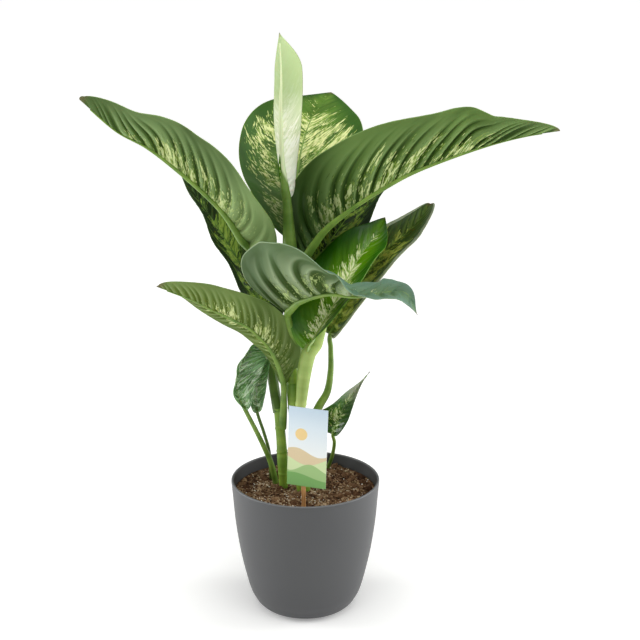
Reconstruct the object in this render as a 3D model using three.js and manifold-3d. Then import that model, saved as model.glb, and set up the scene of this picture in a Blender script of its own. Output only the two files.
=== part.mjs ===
// A potted dieffenbachia: a pot of compost, two canes, thirteen leaves and a plain plant label.
// Millimetres, +Z up. The origin is the middle of the pot's base, and the front is -Y.
import * as THREE from 'three';
import { mergeVertices } from 'three/addons/utils/BufferGeometryUtils.js';
import Module from 'manifold-3d';

const wasm = await Module();
wasm.setup();

// Driving dimensions
const GAP = 0.3;                 // clearance between neighbouring solids
const SEGMENTS = 36;             // round the pot and the compost
const POT_RADIUS = 91;           // at the rim
const POT_HEIGHT = 166;
const POT_FOOT = 46;             // radius of the flat base
const POT_WALL = 3;
const POT_FLOOR = 4;
const SOIL_LEVEL = 152;          // compost surface at the wall
const SOIL_CROWN = 2;            // how much higher it lies in the middle
const ROOT_DEPTH = 26;           // how deep the stems stand in it
const BLADE = 0.9;               // thickness of a leaf blade
const RIB_TIP = 0.8;             // radius where the midrib runs out
const RIB_END = 0.94;            // share of the blade where it does
const RIB_DROP = 0.6;            // how far it lies below the blade, as a share of its radius
const RIB_SINK = 0.06;           // share of the blade over which it sinks that far
const CARD = { width: 48, height: 99, thickness: 0.8, centre: [3, -67, 231.5], yaw: -16.6, roll: -1.8 };
const STICK = { width: 5, thickness: 2, x: -2, bottom: 112, top: 268 };

// Outside of the pot, from the foot to the rim: radius and height
const POT_PROFILE = [
  [POT_FOOT, 0], [54, 2], [60, 7], [64, 13], [69.5, 25], [76.7, 53],
  [82.2, 81], [86.7, 113], [89.4, 145], [POT_RADIUS, POT_HEIGHT - 2.5],
];
// Rounded edge of the rim: how far in from the pot's radius, and how far below its height
const POT_EDGE = [[0.6, 0.6], [1.6, 0], [2.6, 0.6]];
// Top of the compost: radius, and the share of the crown reached there
const SOIL_PROFILE = [[86.2, 0], [70, 0.3], [35, 0.8], [0, 1]];

// Fineness of the meshes
const CANE_SIDES = 10;
const STALK_SIDES = 6;
const RINGS_PER_POINT = 3;       // of a cane
const RIB_RINGS = 0.7;           // of a midrib, as a share of the blade's rows
const CURVE_STEPS = 40;          // between two points of a path, for its length
const BEND_STEPS = 24;           // across half a blade
const FRAMES = 200;              // directions along a tube

// What most leaves share: sweep is how far the margins run ahead of the rib's points, as a share of
// the half width, cup and wave are explained below.
const SWEEP = [[0, -0.35], [0.25, 0.1], [1, 0.3]];
const NO_CUP = [[0, 0, 0], [1, 0, 0]];
const NO_WAVE = [0, 0, 0];
const RIGHT_PHASE = 0.9;         // how far the right margin's waves lead the left one's
const CROWDING = 0.1;            // how much closer the rows lie at the blade's ends
const TAPER_CURVE = 1.7;         // powers that shape the outline towards the tip,
const SWEEP_CURVE = 1.6;         // the sweep towards the margin
const WAVE_CURVE = 2.2;          // and the waves towards the margin

// Canes: points on the axis from the compost up, and the radius at each
const CANES = {
  cane_centre: {
    axis: [[-2, -8, 150], [-6, -6, 198], [-12, -2, 255], [-16, 4, 317], [-17, 8, 379], [-15, 8, 438]],
    radius: [8.5, 8.5, 8.5, 8.5, 8, 8],
  },
  cane_left: {
    axis: [[-27, 4, 151], [-29, 4, 206], [-31, 4, 234], [-33, 4, 256]],
    radius: [5.5, 6.5, 6, 5.5],
  },
};

// Leaves. stalk: the petiole's axis up to the blade. rib: the midrib from there to the tip.
// up: the side that the upper surface faces. fold: share of the rib, then the angles of the left
// and right half from up. cup: how much further each half bends in by its margin. half: the widest
// left and right half. widest: where, as a share of the rib. point: how drawn out the tip is.
// wave: height, count and phase of the margin's waves.
const LEAVES = {
  leaf_spear: {
    stalk: [[-17, 8, 432], [-19, 4, 484], [-21, 0, 517]], radius: [9.3, 5.5],
    rib: [[-25, -3, 557], [-27, -6, 609], [-26, -6, 661], [-28, -2, 708]],
    up: [-0.2, 1, 0], fold: [[0, -75, 30], [0.5, -97, 55], [1, -84, 44]],
    cup: [[0, 40, 20], [1, 40, 20]], half: [28, 10], widest: 0.75, point: 1.25,
    rows: 10, columns: 3,
  },
  leaf_back: {
    stalk: [[-15, 14, 402], [-17, 26, 433], [-18, 36, 458]], radius: [6, 4],
    rib: [[-13, 56, 503], [-6, 86, 552], [8, 128, 590], [32, 182, 614]],
    up: [0, -0.4, 1], fold: [[0, -45, 78], [0.3, -90, 97], [1, -80, 78]],
    cup: [[0, 0, 0], [0.5, 10, 10], [1, -20, -20]], half: [77, 75], widest: 0.5, point: 1, wave: [2, 2, 0],
    rows: 12, columns: 3,
  },
  leaf_right: {
    stalk: [[-11, 6, 392], [-7, 0, 420], [2, -6, 448]], radius: [6, 5],
    rib: [[20, -12, 479], [48, -16, 504], [87, -20, 531], [130, -24, 555], [198, -30, 581],
      [247, -34, 595], [289, -36, 602]],
    up: [0, 0, 1],
    fold: [[0, -55, -35], [0.3, -62, 2], [0.6, -62, 13], [0.69, -62, 2], [0.78, -62, 36], [1, -60, 45]],
    half: [60, 72], widest: 0.25, point: 0.72, wave: [3, 3, 0],
    rows: 14, columns: 3,
  },
  leaf_left: {
    stalk: [[-16, 0, 406], [-41, -6, 432], [-63, -14, 459]], radius: [6, 5],
    rib: [[-89, -30, 502], [-115, -44, 534], [-146, -58, 565], [-175, -70, 590], [-207, -84, 611],
      [-242, -100, 647]],
    up: [0, 0, 1],
    fold: [[0, -70, 62], [0.2, -58, 62], [0.5, -27, 60], [0.58, -22, 60], [0.74, -38, 60], [0.87, -33, 60],
      [1, -43, 60]],
    half: [54, 50], widest: 0.15, point: 0.48, wave: [2, 3, 1],
    rows: 13, columns: 3,
  },
  leaf_front: {
    stalk: [[-8, 2, 330], [-16, -14, 360], [-20, -26, 383]], radius: [6, 4.5],
    rib: [[-11, -40, 400], [2, -54, 410], [29, -78, 423], [59, -100, 426], [94, -122, 437],
      [113, -133, 438], [125, -140, 416]],
    up: [0, 0, 1],
    fold: [[0, -45, 26], [0.18, -50, 36], [0.34, -90, 42], [0.58, -94, 57], [0.68, -72, 80], [0.76, -64, 90],
      [0.86, -52, 98], [1, -50, 105]],
    half: [46, 94], widest: 0.29, point: 1,
    rows: 14, columns: 3,
  },
  leaf_glossy: {
    stalk: [[-10, -4, 230], [-5, -12, 268], [-1, -16, 306], [5, -18, 334]], radius: [5.5, 6.5],
    rib: [[20, -20, 366], [37, -18, 397], [51, -14, 425], [67, -6, 451], [82, 6, 469], [95, 18, 490]],
    up: [-0.3, -1, 0.2], fold: [[0, -66, 5], [0.5, -100, 33], [1, -73, 85]],
    half: [50, 42], widest: 0.35, point: 0.96, wave: [2, 3, 0],
    sweep: [[0, 0.1], [1, 0.3]], rows: 12, columns: 3,
  },
  leaf_right_mid: {
    stalk: [[-5, -5, 207], [6, 2, 234], [17, 10, 256], [27, 16, 273], [31, 20, 299], [31, 26, 325],
      [31, 30, 342]], radius: [6, 3],
    rib: [[48, 32, 374], [69, 36, 407], [96, 42, 442], [123, 50, 464], [139, 56, 480], [152, 64, 496]],
    up: [-0.6, -0.6, 0.6], fold: [[0, -45, 48], [0.5, -55, 65], [1, -90, 58]],
    half: [27, 47], widest: 0.56, point: 0.5,
    rows: 11, columns: 3,
  },
  leaf_right_back: {
    stalk: [[-14, 10, 372], [-7, 24, 392], [1, 36, 413]], radius: [5, 4],
    rib: [[29, 60, 448], [58, 80, 485], [88, 98, 519], [114, 112, 547]],
    up: [-0.3, -0.6, 0.8], fold: [[0, -60, 82], [0.5, -65, 63], [1, -65, 57]],
    half: [46, 51], widest: 0.38, point: 0.95, wave: [2, 3, 2],
    rows: 10, columns: 3,
  },
  leaf_left_back: {
    stalk: [[-33, 4, 250], [-39, 14, 272], [-46, 24, 298], [-49, 34, 333], [-50, 42, 366]], radius: [5, 4],
    rib: [[-71, 52, 408], [-97, 64, 450], [-123, 74, 489], [-152, 86, 528]],
    up: [0.3, -0.6, 0.8], fold: [[0, -54, 60], [0.5, -50, 65], [1, -45, 60]],
    half: [45, 44], widest: 0.38, point: 0.9, wave: [2, 3, 1],
    rows: 10, columns: 3,
  },
  leaf_left_low: {
    stalk: [[-28, 3, 230], [-26, -4, 262], [-26, -12, 291]], radius: [5.5, 4.5],
    rib: [[-31, -18, 315], [-40, -26, 338], [-52, -38, 357], [-66, -52, 375], [-85, -70, 391],
      [-109, -92, 410], [-129, -112, 427], [-160, -140, 448]],
    up: [0, 0, 1], fold: [[0, -8, 95], [0.5, -28, 138], [1, -48, 75]],
    half: [39, 13], widest: 0.26, point: 0.42,
    rows: 12, columns: 3,
  },
  leaf_small_left: {
    stalk: [[-34, 22, 128], [-37, 18, 152], [-43, 12, 182], [-51, 6, 205], [-61, 0, 230], [-72, -4, 255]],
    radius: [4, 2.6],
    rib: [[-81, -6, 277], [-82, -4, 294], [-75, 0, 315], [-64, 4, 330], [-51, 8, 336]],
    up: [0.2, -1, 0.2], fold: [[0, -42, 40], [0.5, -21, 86], [1, -40, 70]],
    half: [11, 29], widest: 0.36, point: 0.35, wave: [2, 3, 0],
    rows: 9, columns: 2,
  },
  leaf_small_right: {
    stalk: [[24, 66, 128], [27, 64, 150], [33, 56, 171], [36, 40, 196], [34, 30, 212]], radius: [2.5, 2.2],
    rib: [[38, 26, 227], [44, 22, 244], [51, 22, 257], [61, 26, 270], [79, 34, 292]],
    up: [-0.3, -1, 0.2], fold: [[0, -100, 60], [0.5, -20, 90], [1, -25, 66]],
    half: [29, 12], widest: 0.23, point: 1.6,
    rows: 9, columns: 2,
  },
  leaf_young_left: {
    stalk: [[-42, 32, 128], [-43, 30, 153], [-45, 22, 191], [-51, 18, 218], [-59, 14, 247]], radius: [2.2, 2],
    rib: [[-60, 14, 268], [-55, 16, 293], [-43, 22, 316]],
    up: [0.2, -1, 0.2], fold: [[0, -50, 60], [1, -50, 60]],
    half: [12, 12], widest: 0.4, point: 0.9,
    rows: 7, columns: 2,
  },
};

// Materials
const finish = (color, roughness) => new THREE.MeshStandardMaterial({ color, roughness, metalness: 0 });
const MATERIALS = {
  pot: finish('#5b5c5f', 0.55),
  soil: finish('#5a3d2b', 0.95),
  cane: finish('#6f9a48', 0.5),
  leaf: finish('#3f7a34', 0.4),
  young_leaf: finish('#c9dba8', 0.45),
  card: finish('#eef2ea', 0.5),
  stick: finish('#c0894f', 0.7),
};

// Helpers
const vector = ([x, y, z]) => new THREE.Vector3(x, y, z);
const radians = THREE.MathUtils.degToRad;

/** Row of numbers at a share t, from rows [share, number, ...], eased between the rows. */
function keyed(rows, t) {
  let i = 0;
  while (i < rows.length - 2 && t > rows[i + 1][0]) i += 1;
  const share = THREE.MathUtils.smoothstep(t, rows[i][0], rows[i + 1][0]);
  return rows[i].slice(1).map((value, k) => THREE.MathUtils.lerp(value, rows[i + 1][k + 1], share));
}

/** The two triangles of a quad. */
const quad = (a, b, c, d) => [[a, b, c], [a, c, d]];

/** Closed BufferGeometry from corners and triangles, with corners that coincide joined. */
function closedGeometry(corners, triangles) {
  const geometry = new THREE.BufferGeometry();
  geometry.setAttribute('position', new THREE.Float32BufferAttribute(corners.flatMap((p) => p.toArray()), 3));
  geometry.setIndex(triangles.flat());
  const merged = mergeVertices(geometry, 1e-5);
  const index = [...merged.index.array];
  const kept = [];
  for (let i = 0; i < index.length; i += 3) {
    const [a, b, c] = index.slice(i, i + 3);
    if (a !== b && b !== c && c !== a) kept.push(a, b, c);
  }
  merged.setIndex(kept);
  return merged;
}

/** Manifold solid of a closed geometry. */
function solid(geometry) {
  const plain = geometry.clone();
  plain.deleteAttribute('normal');
  plain.deleteAttribute('uv');
  const merged = mergeVertices(plain, 1e-5);
  return new wasm.Manifold(new wasm.Mesh({
    numProp: 3,
    vertProperties: new Float32Array(merged.attributes.position.array),
    triVerts: new Uint32Array(merged.index.array),
  }));
}

/** BufferGeometry of a manifold solid's largest body. */
function geometryOf(body) {
  const largest = body.decompose().sort((a, b) => b.volume() - a.volume())[0];
  const mesh = largest.getMesh();
  const geometry = new THREE.BufferGeometry();
  geometry.setAttribute('position', new THREE.BufferAttribute(mesh.vertProperties, 3));
  geometry.setIndex(new THREE.BufferAttribute(mesh.triVerts, 1));
  geometry.computeVertexNormals();
  return geometry;
}

/** Closed tube through rings of sides corners, from centres with a radius each. */
function tube(curve, shares, centres, radii, sides) {
  const frames = curve.computeFrenetFrames(FRAMES, false);
  const corners = [];
  centres.forEach((centre, i) => {
    const k = Math.round(shares[i] * FRAMES);
    for (let j = 0; j < sides; j += 1) {
      const angle = (2 * Math.PI * j) / sides;
      corners.push(centre.clone()
        .addScaledVector(frames.normals[k], radii[i] * Math.cos(angle))
        .addScaledVector(frames.binormals[k], radii[i] * Math.sin(angle)));
    }
  });
  const first = corners.push(centres[0].clone()) - 1;
  const last = corners.push(centres.at(-1).clone()) - 1;
  const end = (centres.length - 1) * sides;
  const faces = [];
  for (let j = 0; j < sides; j += 1) {
    const next = (j + 1) % sides;
    for (let i = 0; i < centres.length - 1; i += 1) {
      faces.push(...quad(i * sides + j, i * sides + next, (i + 1) * sides + next, (i + 1) * sides + j));
    }
    faces.push([first, next, j], [last, end + j, end + next]);
  }
  return closedGeometry(corners, faces);
}

// Canes
function caneTube(cane, extra) {
  const [x, y, z] = cane.axis[0];
  const axis = [[x, y, z - ROOT_DEPTH - extra], ...cane.axis].map(vector);
  axis.at(-1).z += extra;
  const curve = new THREE.CatmullRomCurve3(axis, false, 'catmullrom', 0.5);
  const rows = cane.radius.map((radius, i) => [(i + 1) / cane.radius.length, radius]);
  rows.unshift([0, cane.radius[0]]);
  const rings = RINGS_PER_POINT * (axis.length - 1);
  const shares = Array.from({ length: rings + 1 }, (_, i) => i / rings);
  const centres = shares.map((u) => curve.getPointAt(u));
  const radii = shares.map((u) => keyed(rows, u)[0] + extra);
  return tube(curve, shares, centres, radii, CANE_SIDES);
}

// Leaves
/** Share of the half width that the outline keeps at a share t of the rib. */
function outline(t, { widest, point }) {
  if (t < widest) return Math.sqrt(1 - ((widest - t) / widest) ** 2);
  return (1 - ((t - widest) / (1 - widest)) ** TAPER_CURVE) ** point;
}

/** Curve from the foot of the stalk to the tip of the leaf, and the share of it where the blade starts. */
function leafPath(leaf) {
  const points = [...leaf.stalk, ...leaf.rib].map(vector);
  const curve = new THREE.CatmullRomCurve3(points, false, 'catmullrom', 0.5);
  curve.arcLengthDivisions = CURVE_STEPS * (points.length - 1);
  const lengths = curve.getLengths();
  return { curve, start: lengths[CURVE_STEPS * (leaf.stalk.length - 1)] / lengths.at(-1) };
}

/** Point and directions at a share t of the rib: along it, up, and to the right. */
function ribFrame(leaf, { curve, start }, t) {
  const share = start + (1 - start) * t;
  const along = curve.getTangentAt(share);
  const up = vector(leaf.up).projectOnPlane(along).normalize();
  const right = along.clone().cross(up);
  const towards = (degrees) => up.clone().multiplyScalar(Math.cos(radians(degrees)))
    .addScaledVector(right, Math.sin(radians(degrees)));
  return { point: curve.getPointAt(share), along, towards };
}

/** Middle surface of the blade: rows along the rib, each from the left margin to the right one. */
function bladeGrid(leaf, path, extra) {
  const grid = [];
  const [height, count, phase] = leaf.wave ?? NO_WAVE;
  for (let i = 0; i <= leaf.rows; i += 1) {
    const x = i / leaf.rows;
    const t = x - CROWDING * Math.sin(2 * Math.PI * x);
    const frame = ribFrame(leaf, path, t);
    const angles = keyed(leaf.fold, t);
    const cups = keyed(leaf.cup ?? NO_CUP, t);
    const sweep = keyed(leaf.sweep ?? SWEEP, t)[0];
    const row = [frame.point];
    [-1, 1].forEach((side, k) => {
      const half = leaf.half[k] * outline(t, leaf) + extra;
      const point = frame.point.clone();
      for (let step = 1; step <= BEND_STEPS; step += 1) {
        const f = step / BEND_STEPS;
        const bend = angles[k] - side * cups[k] * (f - 0.5 / BEND_STEPS);
        point.addScaledVector(frame.towards(bend), half / BEND_STEPS);
        if ((step * leaf.columns) % BEND_STEPS === 0) {
          const ripple = height * f ** WAVE_CURVE * Math.sqrt(Math.max(0, Math.sin(Math.PI * t)))
            * Math.sin(2 * Math.PI * count * t + phase + (side > 0 ? RIGHT_PHASE : 0));
          const corner = point.clone()
            .addScaledVector(frame.along, sweep * half * f ** SWEEP_CURVE)
            .addScaledVector(frame.towards(angles[k] - side * (cups[k] * f + 90)), ripple);
          if (side < 0) row.unshift(corner);
          else row.push(corner);
        }
      }
    });
    grid.push(row);
  }
  return grid;
}

/** The blade as a thin closed solid, extra larger each way, its two faces split into triangles alike. */
function bladeSlab(leaf, path, extra) {
  const grid = bladeGrid(leaf, path, extra);
  const last = grid.length - 1;
  const width = grid[0].length;
  const at = (i, j) => grid[THREE.MathUtils.clamp(i, 0, last)][THREE.MathUtils.clamp(j, 0, width - 1)];
  const normalAt = (i, j) => {
    const row = THREE.MathUtils.clamp(i, 1, last - 1);
    const column = i === row ? j : (width - 1) / 2;
    const across = at(row, column + 1).clone().sub(at(row, column - 1));
    const along = at(row + 1, column).clone().sub(at(row - 1, column));
    return across.cross(along).normalize();
  };
  const corners = [];
  const thick = BLADE / 2 + extra;
  [thick, -thick].forEach((offset) => {
    for (let i = 0; i <= last; i += 1) {
      for (let j = 0; j < width; j += 1) {
        corners.push(at(i, j).clone().addScaledVector(normalAt(i, j), offset));
      }
    }
  });
  const under = (last + 1) * width;
  const id = (i, j) => i * width + j;
  const edge = width - 1;
  const faces = [];
  for (let j = 0; j < edge; j += 1) {
    faces.push(...quad(id(0, j + 1), id(0, j), id(0, j) + under, id(0, j + 1) + under));
    faces.push(...quad(id(last, j), id(last, j + 1), id(last, j + 1) + under, id(last, j) + under));
  }
  for (let i = 0; i < last; i += 1) {
    for (let j = 0; j < edge; j += 1) {
      const [a, b, c, d] = [id(i, j), id(i, j + 1), id(i + 1, j + 1), id(i + 1, j)];
      faces.push([a, b, c], [a, c, d], [a + under, c + under, b + under], [a + under, d + under, c + under]);
    }
    faces.push(...quad(id(i, 0), id(i + 1, 0), id(i + 1, 0) + under, id(i, 0) + under));
    faces.push(...quad(id(i, edge), id(i, edge) + under, id(i + 1, edge) + under, id(i + 1, edge)));
  }
  return closedGeometry(corners, faces);
}

/** Shares of the path at the rings of the stalk and of the midrib after it. */
function ringShares(leaf, { start }) {
  const stalkRings = 2 * (leaf.stalk.length - 1);
  const stalk = Array.from({ length: stalkRings + 1 }, (_, i) => (start * i) / stalkRings);
  const ribRings = Math.ceil(leaf.rows * RIB_RINGS);
  const rib = Array.from({ length: ribRings }, (_, i) => start + ((1 - start) * RIB_END * (i + 1)) / ribRings);
  return [...stalk, ...rib];
}

/** Radius of the stalk, and of the midrib that it runs into, at a share of the path. */
function stalkRadius(leaf, { start }, share) {
  const [foot, neck] = leaf.radius;
  return keyed([[0, foot], [start, neck], [start + (1 - start) * RIB_END, RIB_TIP]], share)[0];
}

/** Stalk, running on as the midrib that stands out under the blade, all of it extra wider. */
function stalkAndRib(leaf, path, extra) {
  const shares = ringShares(leaf, path);
  const radii = shares.map((share) => stalkRadius(leaf, path, share));
  const centres = shares.map((share, i) => {
    const t = (share - path.start) / (1 - path.start);
    if (t <= 0) return path.curve.getPointAt(share);
    const [left, right] = keyed(leaf.fold, t);
    const { point, towards } = ribFrame(leaf, path, t);
    const drop = RIB_DROP * radii[i] * Math.min(1, t / RIB_SINK);
    return point.addScaledVector(towards((left + right) / 2), -drop);
  });
  return tube(path.curve, shares, centres, radii.map((radius) => radius + extra), STALK_SIDES);
}

// Pot and compost
const turned = (profile) => new THREE.LatheGeometry(profile, SEGMENTS).rotateX(Math.PI / 2);

function potGeometry() {
  const outer = POT_PROFILE.map(([r, z]) => new THREE.Vector2(r, z));
  const rim = POT_EDGE.map(([inwards, down]) => new THREE.Vector2(POT_RADIUS - inwards, POT_HEIGHT - down));
  const inner = POT_PROFILE.slice(2).reverse().map(([r, z]) => new THREE.Vector2(r - POT_WALL, z));
  const floor = [new THREE.Vector2(POT_FOOT, POT_FLOOR), new THREE.Vector2(0, POT_FLOOR)];
  return turned([new THREE.Vector2(0, 0), ...outer, ...rim, ...inner, ...floor]);
}

function soilGeometry(stems) {
  const side = POT_PROFILE.slice(2).filter(([, z]) => z < SOIL_LEVEL)
    .map(([r, z]) => new THREE.Vector2(r - POT_WALL - GAP, z + GAP));
  const top = SOIL_PROFILE.map(([r, share]) => new THREE.Vector2(r, SOIL_LEVEL + share * SOIL_CROWN));
  const base = [new THREE.Vector2(0, POT_FLOOR + GAP), new THREE.Vector2(POT_FOOT, POT_FLOOR + GAP)];
  let body = solid(turned([...base, ...side, ...top]));
  stems.forEach((stem) => { body = body.subtract(stem); });
  return geometryOf(body);
}

// Plant label
function stickCentre() {
  const yaw = radians(CARD.yaw);
  const behind = CARD.thickness / 2 + GAP + STICK.thickness / 2;
  const along = (STICK.x - CARD.centre[0]) / Math.cos(yaw);
  return [STICK.x - Math.sin(yaw) * behind, CARD.centre[1] + Math.sin(yaw) * along + Math.cos(yaw) * behind,
    (STICK.bottom + STICK.top) / 2];
}

function stickGeometry(extra) {
  const height = STICK.top - STICK.bottom + 2 * extra;
  return new THREE.BoxGeometry(STICK.width + 2 * extra, STICK.thickness + 2 * extra, height)
    .rotateZ(radians(CARD.yaw))
    .translate(...stickCentre());
}

function cardGeometry() {
  return new THREE.BoxGeometry(CARD.width, CARD.thickness, CARD.height)
    .rotateY(radians(-CARD.roll))
    .rotateZ(radians(CARD.yaw))
    .translate(...CARD.centre);
}

// Assembly
const plant = new THREE.Group();
plant.name = 'potted_dieffenbachia';

function place(name, geometry, material) {
  const mesh = new THREE.Mesh(geometry, material);
  mesh.name = name;
  plant.add(mesh);
}

const caneRooms = Object.values(CANES).map((cane) => solid(caneTube(cane, GAP)));
Object.entries(CANES).forEach(([name, cane]) => place(name, caneTube(cane, 0), MATERIALS.cane));

// Each leaf leaves room for the canes and for the leaves before it
const stalkRooms = [];
const bladeRooms = [];
Object.entries(LEAVES).forEach(([name, leaf]) => {
  const path = leafPath(leaf);
  let body = solid(bladeSlab(leaf, path, 0)).add(solid(stalkAndRib(leaf, path, 0)));
  [...caneRooms, ...stalkRooms, ...bladeRooms].forEach((room) => { body = body.subtract(room); });
  place(name, geometryOf(body), name === 'leaf_spear' ? MATERIALS.young_leaf : MATERIALS.leaf);
  stalkRooms.push(solid(stalkAndRib(leaf, path, GAP / Math.cos(Math.PI / STALK_SIDES))));
  bladeRooms.push(solid(bladeSlab(leaf, path, GAP)));
});

place('pot', potGeometry(), MATERIALS.pot);
place('soil', soilGeometry([...caneRooms, ...stalkRooms, solid(stickGeometry(GAP))]), MATERIALS.soil);
place('tag_stick', stickGeometry(0), MATERIALS.stick);
place('tag_card', cardGeometry(), MATERIALS.card);

export default plant;
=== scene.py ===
"""Dresses the solids of a potted dieffenbachia: leaves, canes, compost, pot and plant label.

Shapes are in millimetres here and in metres in the scene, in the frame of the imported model: +Z is up, the
origin is the middle of the pot's base, and the front is -Y.
"""

import math
from functools import partial

import bpy
import numpy as np
from mathutils import Matrix, Vector, noise


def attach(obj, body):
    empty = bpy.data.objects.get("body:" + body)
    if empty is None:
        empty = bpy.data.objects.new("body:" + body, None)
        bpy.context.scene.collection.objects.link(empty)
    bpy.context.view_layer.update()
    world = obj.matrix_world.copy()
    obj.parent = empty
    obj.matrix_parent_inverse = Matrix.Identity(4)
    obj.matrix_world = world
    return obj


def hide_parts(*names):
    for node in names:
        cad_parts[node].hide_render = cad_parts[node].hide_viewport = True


bl_info = {
    "name": "Potted dieffenbachia",
    "version": (1, 0, 0),
    "blender": (4, 5, 0),
    "location": "3D View > Sidebar > Dieffenbachia",
    "description": "Leaves, canes, compost, pot and label of a potted dieffenbachia",
    "category": "Object",
}

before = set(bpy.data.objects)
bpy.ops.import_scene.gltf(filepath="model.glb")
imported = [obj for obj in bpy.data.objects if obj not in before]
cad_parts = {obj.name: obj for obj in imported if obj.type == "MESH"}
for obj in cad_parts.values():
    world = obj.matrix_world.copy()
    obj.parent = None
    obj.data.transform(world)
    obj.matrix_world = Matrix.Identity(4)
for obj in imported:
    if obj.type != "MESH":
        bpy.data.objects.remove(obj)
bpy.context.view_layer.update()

MM = 0.001
FULL_TURN = 2 * math.pi
WELD = 1e-5         # metres within which corners of a mesh are one

# Stalks and midribs
STEPS = 40          # pieces of a path between two of its points
RIB_TIP = 0.8       # radius where a midrib runs out
RIB_END = 0.94      # share of the blade where it does
RIB_SLIM = 0.5      # how thin it is a third of the way there, as a share of the stalk
RIB_SLIM_AT = 0.3
RIB_DROP = 0.6      # how far it lies below the blade, as a share of its radius
RIB_DROP_AT = 0.06  # share of the blade over which it sinks that far
RING_HEIGHT = 0.7   # of the ring on a stalk, and half its width
RING_WIDTH = 1.6
CANE_RING = (0.42, 0.5)     # half of a cane's ring, as shares of the way from one ring to the next
ROOT_DEPTH = 26     # how deep the canes stand in the compost

# Blades. SWEEP and LEAN are for leaves that have no such rows of their own.
SWEEP = [[0, -0.35], [0.25, 0.1], [1, 0.3]]
SWEEP_BEND = 1.6    # powers of the way out to the margin with which sweep and waves grow
WAVE_BEND = 2.2
CROWDING = 0.1      # how much closer the rows of faces lie at a blade's ends
RIGHT_PHASE = 0.9   # how far the right margin's waves lead the left one's
LEAN = [[0, 0.1, 0.1], [0.5, 1.0, 1.0], [1, 1.8, 1.8]]
VEIN_ARCH = 0.35    # how much a side vein curves forward besides by the margin
TIP_BEND = 1.7      # power with which a blade narrows beyond its widest place
PATTERN_SHIFT = 0.9     # metres between two leaves' patterns, so that no two are the same
LARGE_HALF = 60     # half width of a large leaf, and the least share of it that counts for its veins
LEAST_VEINS = 0.4

# Relief of the side veins, counted in spacings from one vein to the next
VEIN_NOISE = 45.0   # bends in their spacing to a metre, and how far these go
VEIN_UNEVEN = 1.5
VEIN_SKEW = 0.14    # how far the hollow is moved towards the vein on the side of the tip
HOLLOW_RISE = 0.4   # shares of the height that a hollow rises and a vein drops
VEIN_DROP = -0.6
MARGIN_RELIEF = (0.35, 0.9, 1.0, 0.08)  # shares out to the margin, and what the relief is there
TIP_RELIEF = (0.97, 0.75)   # shares along the rib, and out from it, between which it grows from nothing
RIB_RELIEF = (0.0, 0.12)

# Canes: points on the axis from the compost up, and radii at even steps along it
CANES = {
    "cane_centre": {
        "axis": [[-2, -8, 150], [-6, -6, 198], [-12, -2, 255], [-16, 4, 317], [-17, 8, 379], [-15, 8, 438]],
        "radius": [8.5, 8.5, 8.5, 8.5, 8, 8],
    },
    "cane_left": {
        "axis": [[-27, 4, 151], [-29, 4, 206], [-31, 4, 234], [-33, 4, 256]],
        "radius": [5.5, 6.5, 6, 5.5],
    },
}

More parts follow.
